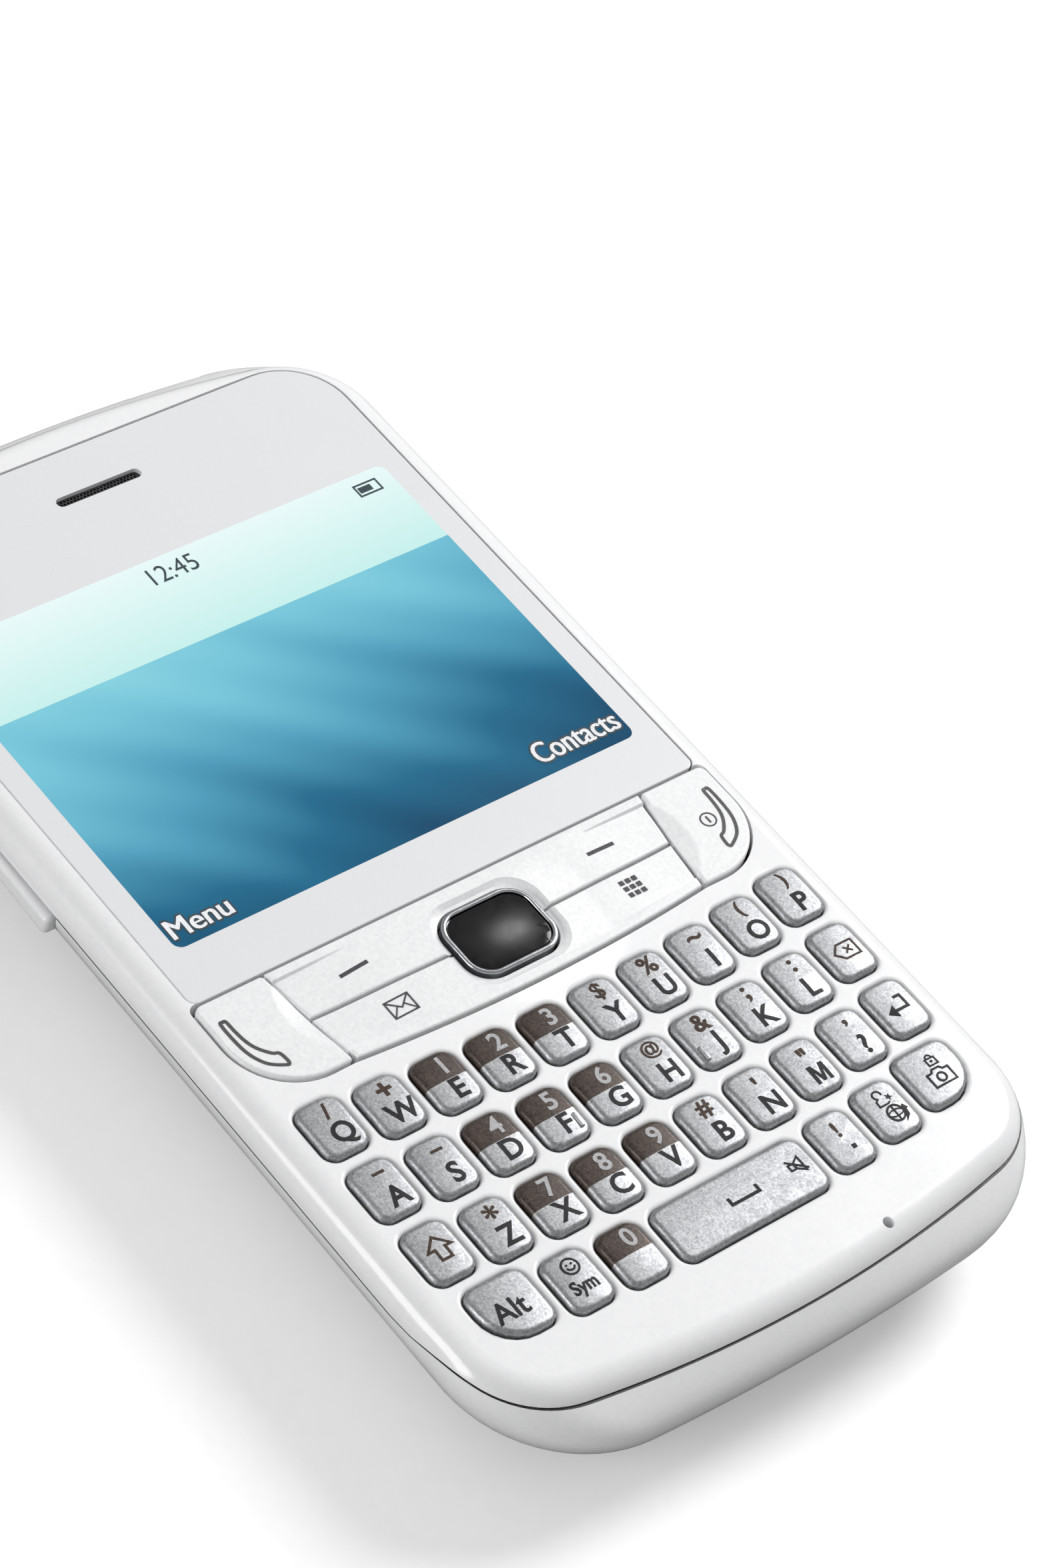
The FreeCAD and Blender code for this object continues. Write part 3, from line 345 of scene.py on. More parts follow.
def bevelled(piece, size, segments=3, angle=40):
    """Soft edges all round."""
    return applied(piece, "BEVEL", width=size, segments=segments, limit_method="ANGLE",
                   angle_limit=math.radians(angle))


def joined(pieces, name):
    """One object of several."""
    bpy.ops.object.select_all(action="DESELECT")
    for piece in pieces:
        piece.select_set(True)
    bpy.context.view_layer.objects.active = pieces[0]
    if len(pieces) > 1:
        bpy.ops.object.join()
    pieces[0].name = pieces[0].data.name = name
    return pieces[0]


def copied(piece, name, x, y):
    """Copy of a piece with its own mesh, moved to its place."""
    twin = piece.copy()
    twin.data = piece.data.copy()
    twin.name = twin.data.name = name
    bpy.context.collection.objects.link(twin)
    edit(twin, whole=True)
    bpy.ops.transform.translate(value=(x, y, 0))
    leave_edit()
    return twin


def settle(piece, body, nodes=(), smooth=32):
    """Finish a piece: frame units, smooth shading, its body and the nodes it stands for."""
    take(piece)
    piece.scale = (MM, MM, MM)
    bpy.ops.object.transform_apply(location=True, rotation=True, scale=True)
    bpy.ops.object.shade_smooth_by_angle(angle=math.radians(smooth))
    applied(piece, "WEIGHTED_NORMAL", keep_sharp=True)
    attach(piece, body)
    if nodes:
        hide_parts(*nodes)
    return piece


def paint(piece, *finishes):
    """Give a piece its materials in order."""
    for finish_of in finishes:
        piece.data.materials.append(finish_of)
    return piece


def paint_faces(piece, test):
    """Give the faces that pass a test the piece's second material."""
    for face in piece.data.polygons:
        if test(face):
            face.material_index = 1
    return piece


# ---- Outline of the face ----
def sag(x, radius):
    """How far a bowed line falls back at a distance from its middle."""
    return radius - math.sqrt(radius ** 2 - x ** 2)


def seam_drop(y):
    """Drop of the parting line below the face, level along the sides and round the ends."""
    rise_end = half_length - SEAM_FLAT_END
    share = min(max((abs(y) - (rise_end - SEAM_RISE_RUN)) / SEAM_RISE_RUN, 0), 1)
    ease = 2 * share ** 2 if share < 0.5 else 1 - 2 * (1 - share) ** 2
    return SEAM_DROP_SIDE + (SEAM_DROP_END - SEAM_DROP_SIDE) * ease


# ---- Shells: lofted through their own sections, whose bow and corners change with depth ----
RING_COUNT = 176
SIDE_SHARE = 0.4            # shares of a ring's quarter that its side and corner take
CORNER_SHARE = 0.35
FRONT_LEVELS = 12
REAR_LEVELS = 26
LEVEL_CROWDING = 1.35       # rings lie closer together towards the flat back
TOOL_START = 0.6            # tools of the rear form start this far below the face
ring_shares = [index / RING_COUNT for index in range(RING_COUNT)]


def edge_inset(drop):
    rise = max(FACE_EDGE_R - drop, 0)
    return FACE_EDGE_R - math.sqrt(FACE_EDGE_R ** 2 - rise ** 2)


def tuck_share(drop, start, inset):
    depth = max(drop - start, 0) / (face_z - start - inset) * math.sin(TUCK_TURN)
    return (1 - math.sqrt(max(1 - depth ** 2, 0))) / (1 - math.cos(TUCK_TURN))


def face_section(inset):
    """Half width, half length, corner radius and bow radius of the face, moved inwards."""
    return half_width - inset, half_length - inset, FACE_CORNER_R - inset, FACE_BOW_R - inset


def rear_section(drop, inset):
    """The same four sizes of the rear shell at a drop below the face."""
    ease = min(max((drop - SEAM_DROP_END) / (BELLY_DROP - SEAM_DROP_END), 0), 1)
    swell = math.sin(math.pi / 2 * ease)
    side = half_width - edge_inset(drop) - SIDE_TUCK * tuck_share(drop, SEAM_DROP_SIDE, inset)
    end_tuck = tuck_share(drop, BELLY_DROP, inset)
    seam_end = half_length - edge_inset(SEAM_DROP_END)
    end = seam_end + (half_length + END_BULGE - seam_end) * swell - END_TUCK * end_tuck
    corner = FACE_CORNER_R - edge_inset(SEAM_DROP_END)
    corner += (BELLY_CORNER_R - corner) * swell + (BACK_CORNER_R - BELLY_CORNER_R) * end_tuck
    curve = 1 / FACE_BOW_R + (1 / BELLY_BOW_R - 1 / FACE_BOW_R) * swell
    return side - inset, end - inset, corner - inset, 1 / curve


def ring_point(share, section):
    """Point of a bowed, rounded outline at a share of the way round it."""
    half_w, half_l, corner, bow = section
    quarter, part = divmod(share * 4, 1)
    if quarter % 2:
        part = 1 - part
    bow_y = half_l - bow
    corner_x = half_w - corner
    corner_y = bow_y + math.sqrt((bow - corner) ** 2 - corner_x ** 2)
    turn = math.atan2(corner_x, corner_y - bow_y)
    corner_end = SIDE_SHARE + CORNER_SHARE
    if part < SIDE_SHARE:
        x, y = half_w, corner_y * part / SIDE_SHARE
    elif part < corner_end:
        angle = (part - SIDE_SHARE) / CORNER_SHARE * (math.pi / 2 - turn)
        x, y = corner_x + corner * math.cos(angle), corner_y + corner * math.sin(angle)
    else:
        angle = turn * (1 - (part - corner_end) / (1 - corner_end))
        x, y = bow * math.sin(angle), bow_y + bow * math.cos(angle)
    return x * (1, -1, -1, 1)[int(quarter)], y * (1, 1, -1, -1)[int(quarter)]


def lofted(name, rings):
    """Closed form through rings of points, capped at both ends."""
    work = bmesh.new()
    rings = [[work.verts.new(point) for point in ring] for ring in rings]
    for first, second in zip(rings, rings[1:]):
        for index in range(RING_COUNT):
            following = (index + 1) % RING_COUNT
            work.faces.new((first[index], second[index], second[following], first[following]))
    work.faces.new(rings[0])
    work.faces.new(list(reversed(rings[-1])))
    bmesh.ops.recalc_face_normals(work, faces=work.faces)
    return drawn(work, name)


def drawn(work, name, ink=None):
    """Object of a mesh that was drawn point by point."""
    mesh = bpy.data.meshes.new(name)
    work.to_mesh(mesh)
    work.free()
    form = bpy.data.objects.new(name, mesh)
    bpy.context.collection.objects.link(form)
    return paint(form, ink) if ink else form


def wall_ring():
    """Outline of the inner side of the shells' wall."""
    return [ring_point(share, face_section(WALL)) for share in ring_shares]


def front_tray():
    """Face plate and its skirt: rings over the rounded edge, round the rim and up inside."""
    rings = [[(x, y, face_z - PLATE_THICK) for x, y in wall_ring()],
             [(x, y, face_z - seam_drop(y)) for x, y in wall_ring()]]
    for level in range(FRONT_LEVELS + 1):
        ring = []
        for share in ring_shares:
            rim_y = ring_point(share, face_section(edge_inset(SEAM_DROP_END)))[1]
            low_turn = math.asin(max(FACE_EDGE_R - seam_drop(rim_y), 0) / FACE_EDGE_R)
            upright = max(seam_drop(rim_y) - FACE_EDGE_R, 0)
            run = (upright + FACE_EDGE_R * (math.pi / 2 - low_turn)) * level / FRONT_LEVELS
            turn = low_turn + max(run - upright, 0) / FACE_EDGE_R
            drop = seam_drop(rim_y) - run if run < upright else FACE_EDGE_R * (1 - math.sin(turn))
            x, y = ring_point(share, face_section(FACE_EDGE_R * (1 - math.cos(turn))))
            ring.append((x, y, face_z - drop))
        rings.append(ring)
    return lofted("front_shell", rings)


def front_shell():
    """Moulded face of the phone with a soft lip round every opening."""
    return cut_away(front_tray(), lens_seat(), cluster_tool(), *key_hole_tools(),
                    microphone_hole(), display_hole())


def rear_loft(name, inset, seam_gap=None):
    """Rear form from the parting line, or without a seam gap from above it, to the flat back."""
    rings = []
    for level in range(REAR_LEVELS + 1):
        ease = 1 - (1 - level / REAR_LEVELS) ** LEVEL_CROWDING
        ring = []
        for share in ring_shares:
            rim_y = ring_point(share, rear_section(SEAM_DROP_END, 0))[1]
            start = TOOL_START if seam_gap is None else seam_drop(rim_y) + seam_gap
            drop = start + (face_z - inset - start) * ease
            ring.append((*ring_point(share, rear_section(drop, inset)), face_z - drop))
        rings.append(ring)
    return lofted(name, rings)


def cover_plug(reach):
    corners = rectangle(0, 0, 2 * (cover_high.x + reach), 2 * (cover_high.y + reach))
    return plug("cover_plug", corners, -3, face_z / 2, [COVER_CORNER_R + reach] * 4, 12)


def rear_pieces():
    """Rear shell with its cover recess, camera window and speaker slots, and the cover itself."""
    cover = rear_loft("battery_cover_skin", 0, SEAM_GAP)
    cut_away(cover, cover_plug(0), keep="INTERSECT")
    cut_away(cover, rear_loft("under_skin", COVER_THICK), back_tools())
    shell = rear_loft("rear_shell", 0, SEAM_GAP)
    recess = cut_away(cover_plug(COVER_GAP), rear_loft("recess_floor", COVER_THICK + COVER_GAP))
    room = lofted("board_room", [[(x, y, z) for x, y in wall_ring()]
                                 for z in (rear_high.z + 1, face_z - BOARD_DROP)])
    return cut_away(shell, recess, room, back_tools(), *side_openings()), cover


def side_openings():
    """Openings of the volume key and of both sockets through the rear shell's wall."""
    slot = rectangle(volume_low.x, node_middle("volume_key")[1], 6, VOLUME_LENGTH + 2 * VOLUME_GAP)
    width = usb_high.x - usb_low.x + 2 * USB_GAP
    mouth = rectangle(node_middle("usb_socket")[0], usb_high.y, width, 8)
    jack_spot = (node_middle("headset_jack")[0], jack_high.y, (jack_low.z + jack_high.z) / 2)
    return (plug("volume_opening", slot, volume_low.z - VOLUME_GAP, face_z),
            plug("usb_opening", mouth, usb_low.z - USB_GAP, usb_high.z + USB_GAP),
            drum("jack_opening", 64, JACK_HOLE_R, 8, jack_spot, (math.pi / 2, 0, 0)))


# ---- Places of the keys, read from their solids ----
key_nodes = [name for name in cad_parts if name.startswith("key_")]
corner_nodes = {"key_alt": 0, "key_camera": 1}      # which of their corners is the broad one


def key_place(node):
    """Centre and cap size of a keyboard key."""
    low, high = node_span(node)
    x, y = node_middle(node)
    return (x, y + CAP_RISE, high.x - low.x - 2 * FLANGE_REACH + 2 * CAP_GROWTH[0],
            high.y - low.y - 2 * FLANGE_REACH + 2 * CAP_GROWTH[1])


def over_keys(kind, make, reach=0.0):
    """A form for every key: those of the letter keys are copies, the others are their own."""
    forms, letter = {}, None
    for node in key_nodes:
        x, y, width, height = key_place(node)
        size = (width + 2 * reach, height + 2 * reach)
        radii = [KEY_CORNER_R + reach] * 4
        if node in corner_nodes:
            radii[corner_nodes[node]] = CORNER_KEY_R + reach
        if node in corner_nodes or node == "key_space":
            forms[node] = make(node + kind, rectangle(x, y, *size), radii)
        else:
            letter = letter or make("letter" + kind, rectangle(0, 0, *size), radii)
            forms[node] = copied(letter, node + kind, x, y)
    throw_away(letter)
    return forms


def flared_tool(name, corners, radii):
    """Tool for an opening whose brim is rounded: a plate with a shaft under it."""
    x0, y0 = (sum(corner[axis] for corner in corners) / 4 for axis in (0, 1))
    grown = [(x + math.copysign(LIP_PLATE, x - x0), y + math.copysign(LIP_PLATE, y - y0))
             for x, y in corners]
    tool = block(name, grown, face_z, face_z + ABOVE)
    round_corners(grown, [radius + LIP_PLATE for radius in radii])
    choose("FACE", lambda face: face.normal.z < -0.9)
    bpy.ops.mesh.inset(thickness=LIP_PLATE, use_even_offset=True)
    draw_out(-KEY_HOLE_DEPTH)

    def at_neck(edge):
        return (abs(middle(edge).z - face_z) < TINY and not is_upright(edge)
                and any(abs(face.normal.z) < 0.1 and face.calc_center_median().z < face_z
                        for face in edge.link_faces))
    round_edges(at_neck, LIP, 4)
    leave_edit()
    return tool


def key_hole_tools():
    """Tools for the key holes: one for all but the corner keys, whose lips run into others."""
    tools = over_keys("_hole", flared_tool, KEY_CLEARANCE)
    corner_tools = [tools.pop(node) for node in key_nodes if node in corner_nodes]
    return [joined(list(tools.values()), "key_holes")] + corner_tools


def cluster_tool():
    """Opening for the function keys: straight top, round outer corners and a bowed foot."""
    side = cluster_half + FUNCTION_GAP
    top = cluster_top + FUNCTION_GAP + CLUSTER_TOP_GAP
    low = foot_y - FUNCTION_GAP
    corners = rectangle(0, (top + low) / 2, 2 * side, top - low)
    tool = block("cluster_opening", corners, INSIDE, face_z + ABOVE)
    round_corners(corners, [CALL_OUTER_R + FUNCTION_GAP] * 2 + [CALL_TOP_R] * 2, 14)
    reach = cluster_half - CALL_FOOT_WIDTH
    steps = [reach * step / 8 for step in range(-8, 9)]
    slice_at(0, steps)
    for x in steps:
        drop = foot_y - cluster_low - sag(x, CLUSTER_BOW_R)
        shift(lambda co: abs(co.x - x) < TINY and abs(co.y - low) < TINY, y=-drop)
    leave_edit()
    return tool


def lens_outline(gap=0.0):
    """Corners of the display window, grown by a gap."""
    return rectangle(0, (lens_low.y + lens_high.y) / 2, lens_high.x - lens_low.x + 2 * gap,
                     lens_high.y - lens_low.y + 2 * gap)


def lens_seat():
    """Recess of the display window."""
    return plug("lens_seat", lens_outline(LENS_GAP), lens_low.z - 0.1, face_z + ABOVE,
                [radius + LENS_GAP for radius in LENS_CORNERS], 12)


def microphone_hole():
    """Pinhole at the bottom end."""
    return drum("microphone_hole", 24, PINHOLE_R, 6, (*node_middle("microphone"), face_z))


def display_hole():
    """Window of the face plate under the lens."""
    low, high = node_span("lcd_module")
    width = high.x - low.x - 2 * WINDOW_LEDGE
    corners = rectangle(0, (lens_low.y + lens_high.y) / 2, width, WINDOW_HEIGHT)
    return plug("display_hole", corners, INSIDE, face_z + ABOVE, [1] * 4, 4)


def back_tools():
    """Camera window and loudspeaker slots."""
    low, high = -2, 3
    x, y = node_middle("camera_module")
    tools = [drum("camera_window", 64, CAMERA_WINDOW_R, high - low, (x, y, (high + low) / 2))]
    for step in range(-2, 3):
        slot = rectangle(node_middle("loudspeaker")[0], y + SPEAKER_PITCH * step, *SPEAKER_SLOT)
        tools.append(plug("slot", slot, low, high, [SPEAKER_SLOT[1] / 2 - 0.01] * 4, 4))
    return joined(tools, "back_tools")


# ---- Keyboard ----
CAP_GRID = 1.2              # spacing of the cuts that let a cap's top be crowned
CAP_ROWS = 5
CROWN_DEPTH = 0.5           # vertices this far below a crowned top move with it


def dome(top, height, centre, half_size):
    """In edit mode, crown everything at or near a level, falling off along X and Y."""
    shoulder = top - CROWN_DEPTH
    for axis in (0, 1):
        for start in strips(axis, shoulder):
            share = (start - centre[axis]) / half_size[axis]
            shift(lambda co: start <= co[axis] < start + STRIP and co.z > shoulder,
                  z=-height * share ** 2)


def key_cap(name, corners, radii):
    """Pillow-shaped key cap: rounded outline, broad soft shoulder and a crowned top."""
    cap = block(name, corners, KEY_FOOT, KEY_TOP)
    round_corners(corners, radii)
    round_level(KEY_TOP, CAP_SHOULDER, 6)
    (x0, y0), (x1, y1) = corners[0], corners[2]
    columns = max(3, round((x1 - x0) / CAP_GRID))
    rows = [y0 + (y1 - y0) * (step + 0.5) / CAP_ROWS for step in range(CAP_ROWS)]
    slice_at(0, [x0 + (x1 - x0) * (step + 0.5) / columns for step in range(columns)])
    slice_at(1, rows + [(y0 + y1) / 2 + SPLIT_RISE - CAP_RISE])
    dome(KEY_TOP, KEY_CROWN, ((x0 + x1) / 2, (y0 + y1) / 2), ((x1 - x0) / 2, (y1 - y0) / 2))
    leave_edit()
    return cap


# ---- Function cluster ----
def call_corners(side):
    """Corners of the call key (-1) or end key (1), anticlockwise from lower left."""
    inner_top, inner_foot = cluster_half - CALL_TOP_WIDTH, cluster_half - CALL_FOOT_WIDTH
    if side < 0:
        return ((-cluster_half, foot_y), (-inner_foot, foot_y),
                (-inner_top, cluster_top), (-cluster_half, cluster_top))
    return ((inner_foot, foot_y), (cluster_half, foot_y),
            (cluster_half, cluster_top), (inner_top, cluster_top))


def side_key(side):
    """Call or end key with a sloping hollow along its inner edge."""
    corners = call_corners(side)
    key = block("call_key_cap" if side < 0 else "end_key_cap", corners, KEY_FOOT, function_top)
    outer, inner = (0, 1) if side < 0 else (1, 0)
    round_upright(*corners[outer], CALL_OUTER_R, 16)
    round_upright(*corners[3 - outer], CALL_TOP_R, 8)
    round_upright(*corners[inner], SMALL_R, 8)
    round_upright(*corners[3 - inner], SMALL_R, 8)
    round_level(function_top, CALL_ROUNDING, 8)
    leave_edit()
    cut_away(key, hollow_tool(Vector(corners[inner]), Vector(corners[3 - inner]), side))
    edit(key)

    def on_ridge(edge):
        level = all(abs(vert.co.z - function_top) < TINY for vert in edge.verts)
        tilts = sorted(face.normal.z for face in edge.link_faces)
        return level and len(tilts) == 2 and 0.9 < tilts[0] < 0.985 and tilts[1] > 0.999
    round_edges(on_ridge, RIDGE_ROUNDING, 5)
    leave_edit()
    return key


def hollow_tool(foot, top, side):
    """Round bar laid aslant over the inner edge, so that it cuts deepest at the middle."""
    along = (top - foot).normalized()
    across = Vector((along.y * side, -along.x * side, 0))
    rise = (across * HOLLOW_WIDTH + Vector((0, 0, HOLLOW_DEPTH))).normalized()
    upwards = (Vector((0, 0, HOLLOW_WIDTH)) - across * HOLLOW_DEPTH).normalized()
    radius = HOLLOW_LENGTH ** 2 / (8 * HOLLOW_DEPTH)
    middle_top = ((foot + top) / 2).to_3d() + Vector((0, 0, function_top - HOLLOW_DEPTH))
    return drum("hollow", 360, radius, 6 * HOLLOW_WIDTH, middle_top + upwards * radius + rise,
                rise.to_track_quat("Z", "Y").to_euler())


def bar_corners(upper):
    """Corners of the upper or lower bar before its edges are bowed."""
    slope = (CALL_FOOT_WIDTH - CALL_TOP_WIDTH) / (cluster_top - foot_y)
    top_x = cluster_half - CALL_TOP_WIDTH - FUNCTION_GAP
    divide = nav_y + FUNCTION_GAP / 2 * (1 if upper else -1)
    top, low = (cluster_top, divide) if upper else (divide, cluster_low)
    wide, narrow = (top_x - slope * (cluster_top - y) for y in (top, low))
    return ((-narrow, low), (narrow, low), (wide, top), (-wide, top))


def nav_tool():
    """Shaft for the navigation pad with a dished brim."""
    reach = RING_WIDTH + FUNCTION_GAP
    width, height = nav_width + 2 * reach, nav_height + 2 * reach
    corners = rectangle(0, nav_y, width, height)
    tool = block("nav_opening", corners, INSIDE, function_top - BRIM_DEPTH)
    round_corners(corners, [NAV_CORNER_R + reach] * 4, 10)
    choose("FACE", lambda face: face.normal.z > 0.9)
    for out, up in BRIM_STEPS:
        draw_out(up)
        stretch = [(size + 2 * out) / size for size in (width, height)]
        bpy.ops.transform.resize(value=(*stretch, 1), center_override=(0, nav_y, function_top))
        width, height = width + 2 * out, height + 2 * out
    leave_edit()
    return tool


def function_bar(upper):
    """Rocking bar that wraps one half of the pad: a level band and hollow ends beside it."""
    corners = bar_corners(upper)
    name = "soft_key_bar_cap" if upper else "shortcut_key_bar_cap"
    bar = block(name, corners, KEY_FOOT, function_top)
    low_y, top_y = corners[0][1], corners[2][1]
    widest = max(corner[0] for corner in corners)
    slice_at(0, [widest * step / BAR_SLICES for step in range(1 - BAR_SLICES, BAR_SLICES)])
    round_level(function_top, BAR_ROUNDING, 6)
    band_y = top_y - BAR_BAND if upper else low_y + BAR_BAND
    inner_y = band_y + BAND_STEP * (-1 if upper else 1)
    slice_at(1, [band_y, inner_y])

    def in_scoop(co):
        inside = co.y < inner_y + TINY if upper else co.y > inner_y - TINY
        return inside and co.z > function_top - 0.5

    def at_foot(co):
        return co.y < low_y + (0.3 if upper else 1.1)

    def at_divider(co):
        return not upper and co.y > top_y - 0.3

    for x in strips(0, 0):
        share = min(max((abs(x) - (widest - SCOOP_LENGTH)) / SCOOP_LENGTH, 0), 1)
        for part, y, z in ((in_scoop, 0, -SCOOP_DEPTH * share ** 2 * (3 - 2 * share)),
                           (at_foot, sag(x, DIVIDER_BOW_R if upper else CLUSTER_BOW_R), 0),
                           (at_divider, sag(x, DIVIDER_BOW_R), 0)):
            shift(lambda co: x <= co.x < x + STRIP and part(co), y=y, z=z)
    leave_edit()
    return cut_away(bar, nav_tool())


def navigation():
    """Bright ring and black glass of the navigation pad."""
    outer = rectangle(0, nav_y, nav_width + 2 * RING_WIDTH, nav_height + 2 * RING_WIDTH)
    ring = block("nav_ring_bezel", outer, KEY_FOOT, ring_high.z)
    round_corners(outer, [NAV_CORNER_R + RING_WIDTH] * 4, 12)
    choose("FACE", lambda face: face.normal.z > 0.9)
    bpy.ops.mesh.inset(thickness=RING_WIDTH)
    draw_out(-RING_DEPTH)
    round_level(ring_high.z, RING_ROUNDING, 5)
    leave_edit()
    width, height = nav_width - 2 * NAV_FIT, nav_height - 2 * NAV_FIT
    inner = rectangle(0, nav_y, width, height)
    glass = block("nav_glass", inner, pad_low.z, pad_high.z)
    round_corners(inner, [NAV_CORNER_R - NAV_FIT] * 4, 12)
    round_level(pad_high.z, PAD_ROUNDING, 4)
    slice_at(0, range(-3, 4))
    slice_at(1, [nav_y + step for step in range(-2, 3)])
    dome(pad_high.z, PAD_CROWN, (0, nav_y), (width / 2, height / 2))
    leave_edit()
    return ring, glass


# ---- Display ----
PICTURE_HALF = 24.6
PICTURE_LOW = lens_low.y + 5.27
PICTURE_HIGH = PICTURE_LOW + 36.8
PICTURE_CORNER_R = 0.9
PICTURE_DEPTH = 0.3
PICTURE_RISE = 0.004        # it stands this far over the lens, and is seen flush
HORIZON = 26.0              # where the sky of the picture meets its water


def display_window():
    """Lens with its printed border."""
    lens = block("display_lens_plate", lens_outline(), lens_low.z, lens_high.z)
    round_corners(lens_outline(), LENS_CORNERS, 12)
    round_level(lens_high.z, LENS_ROUNDING, 3)
    leave_edit()
    return lens


def display_picture():
    """Lit picture seen flush in the lens."""
    corners = rectangle(0, (PICTURE_LOW + PICTURE_HIGH) / 2, 2 * PICTURE_HALF,
                        PICTURE_HIGH - PICTURE_LOW)
    return plug("display_picture", corners, lens_high.z - PICTURE_DEPTH,
                lens_high.z + PICTURE_RISE, [PICTURE_CORNER_R] * 4)


# ---- Printed marks: flat sheets laid on a surface and given a film's thickness ----
CAPITAL_SHARE = 0.685       # capital height of the letters over their nominal size
INK_THICK = 0.03
INK_LIFT = 0.02
LAYER = 0.004               # each further mark of one key lies this much higher
SHEET_GRID = 0.42
SHEET_HEIGHT = 20           # sheets wait above everything until they are laid
SHARPEST = 0.45             # mitres of lines stop growing at this cosine


def words(text, x, y, height, ink, weight=0.032, narrow=1.0, span=None):
    """Letters of a capital height, centred on a place, fitted to a span when one is given."""
    bpy.ops.object.select_all(action="DESELECT")
    bpy.ops.object.text_add()
    sheet = bpy.context.object
    sheet.data.body = text
    sheet.data.size = height / CAPITAL_SHARE
    sheet.data.offset = weight * height
    sheet.data.resolution_u = 4
    bpy.ops.object.convert(target="MESH")
    sheet.scale.x = span / sheet.dimensions.x if span else narrow
    bpy.ops.object.transform_apply(scale=True)
    xs, ys = ([vert.co[axis] for vert in sheet.data.vertices] for axis in (0, 1))
    edit(sheet, whole=True)
    bpy.ops.transform.translate(value=(x - (min(xs) + max(xs)) / 2, y - (min(ys) + max(ys)) / 2,
                                       SHEET_HEIGHT))
    leave_edit()
    sheet.data.materials.clear()
    return paint(sheet, ink)


def sheet_of(work, x, y, ink):
    """Sheet of a mesh that was drawn about a place."""
    bmesh.ops.translate(work, vec=(x, y, SHEET_HEIGHT), verts=work.verts)
    return drawn(work, "mark", ink)


def patch(points, x, y, ink):
    """Filled shape through points about a place."""
    work = bmesh.new()
    work.faces.new([work.verts.new((px, py, 0)) for px, py in points])
    return sheet_of(work, x, y, ink)


def line(points, width, x, y, ink, closed=False):
    """Line of even width with mitred corners through points about a place."""
    points = [Vector(point) for point in points]
    count = len(points)
    work = bmesh.new()
    pairs = []
    for index, point in enumerate(points):
        ways = []
        if closed or index:
            ways.append((point - points[index - 1]).normalized())
        if closed or index < count - 1:
            ways.append((points[(index + 1) % count] - point).normalized())
        way = sum(ways, Vector((0, 0))).normalized()
        side = Vector((-way.y, way.x)) * (width / 2 / max(way.dot(ways[0]), SHARPEST))
        pairs.append([work.verts.new((*(point + side * turn), 0)) for turn in (1, -1)])
    for index in range(count if closed else count - 1):
        (a, b), (c, d) = pairs[index], pairs[(index + 1) % count]
        work.faces.new((a, b, d, c))
    return sheet_of(work, x, y, ink)


def arc(x, y, radius, start, end, steps, flat=1.0):
    """Points of an arc between two angles in degrees."""
    turns = [math.radians(start + (end - start) * step / steps) for step in range(steps + 1)]
    return [(x + radius * math.cos(turn), y + flat * radius * math.sin(turn)) for turn in turns]


def circle(radius, width, x, y, ink, flat=1.0):
    return line(arc(0, 0, radius, 0, 345, 23, flat), width, x, y, ink, closed=True)


def dot(radius, x, y, ink):
    return patch(arc(0, 0, radius, 0, 330, 11), x, y, ink)


def gridded(sheet):
    """Cut a sheet into small squares, so that it follows a crowned surface."""
    work = bmesh.new()
    work.from_mesh(sheet.data)
    for axis, way in ((0, (1, 0, 0)), (1, (0, 1, 0))):
        places = [vert.co[axis] for vert in work.verts]
        start, end = min(places), max(places)
        for step in range(1, math.ceil((end - start) / SHEET_GRID)):
            spot = [(start + SHEET_GRID * step) * part for part in way]
            bmesh.ops.bisect_plane(work, geom=work.verts[:] + work.edges[:] + work.faces[:],
                                   plane_co=spot, plane_no=way)
    work.to_mesh(sheet.data)
    work.free()


def printed(piece, sheets, thick=INK_THICK):
    """Drop sheets on a piece, one slightly above the other, and join them to it."""
    for index, sheet in enumerate(sheets):
        gridded(sheet)
        applied(sheet, "SHRINKWRAP", target=piece, wrap_method="PROJECT", use_project_z=True,
                use_negative_direction=True, use_positive_direction=False,
                offset=INK_LIFT + LAYER * index)
        applied(sheet, "SOLIDIFY", thickness=thick, offset=0)
        edit(sheet, whole=True)
        bpy.ops.mesh.normals_make_consistent(inside=False)
        leave_edit()
    return joined([piece] + list(sheets), piece.name)


# ---- Shader groups and finishes ----
def place(tree, kind, wires=None, **settings):
    """Add a node with its settings, and wire its inputs or set their values."""
    node = tree.nodes.new(kind)
    for name, value in settings.items():
        setattr(node, name, value)
    for name, value in (wires or {}).items():
        if isinstance(value, bpy.types.NodeSocket):
            tree.links.new(value, node.inputs[name])
        else:
            node.inputs[name].default_value = value
    return node


def reckon(tree, operation, first, second):
    """Value of two values put together."""
    return place(tree, "ShaderNodeMath", {0: first, 1: second},
                 operation=operation).outputs["Value"]


def spread(tree, value, start, end, low=0.0, high=1.0):
    """Value spread from one range over another."""
    return place(tree, "ShaderNodeMapRange", {"Value": value, "From Min": start, "From Max": end,
                                              "To Min": low, "To Max": high}).outputs["Result"]


def ramp(tree, value, *stops):
    """Colour ramp through (place, colour) stops."""
    node = place(tree, "ShaderNodeValToRGB", {"Fac": value})
    elements = node.color_ramp.elements
    for index, (position, colour) in enumerate(stops):
        element = elements[index] if index < 2 else elements.new(position)
        element.position = position
        element.color = (*colour, 1)
    return node.outputs["Color"]


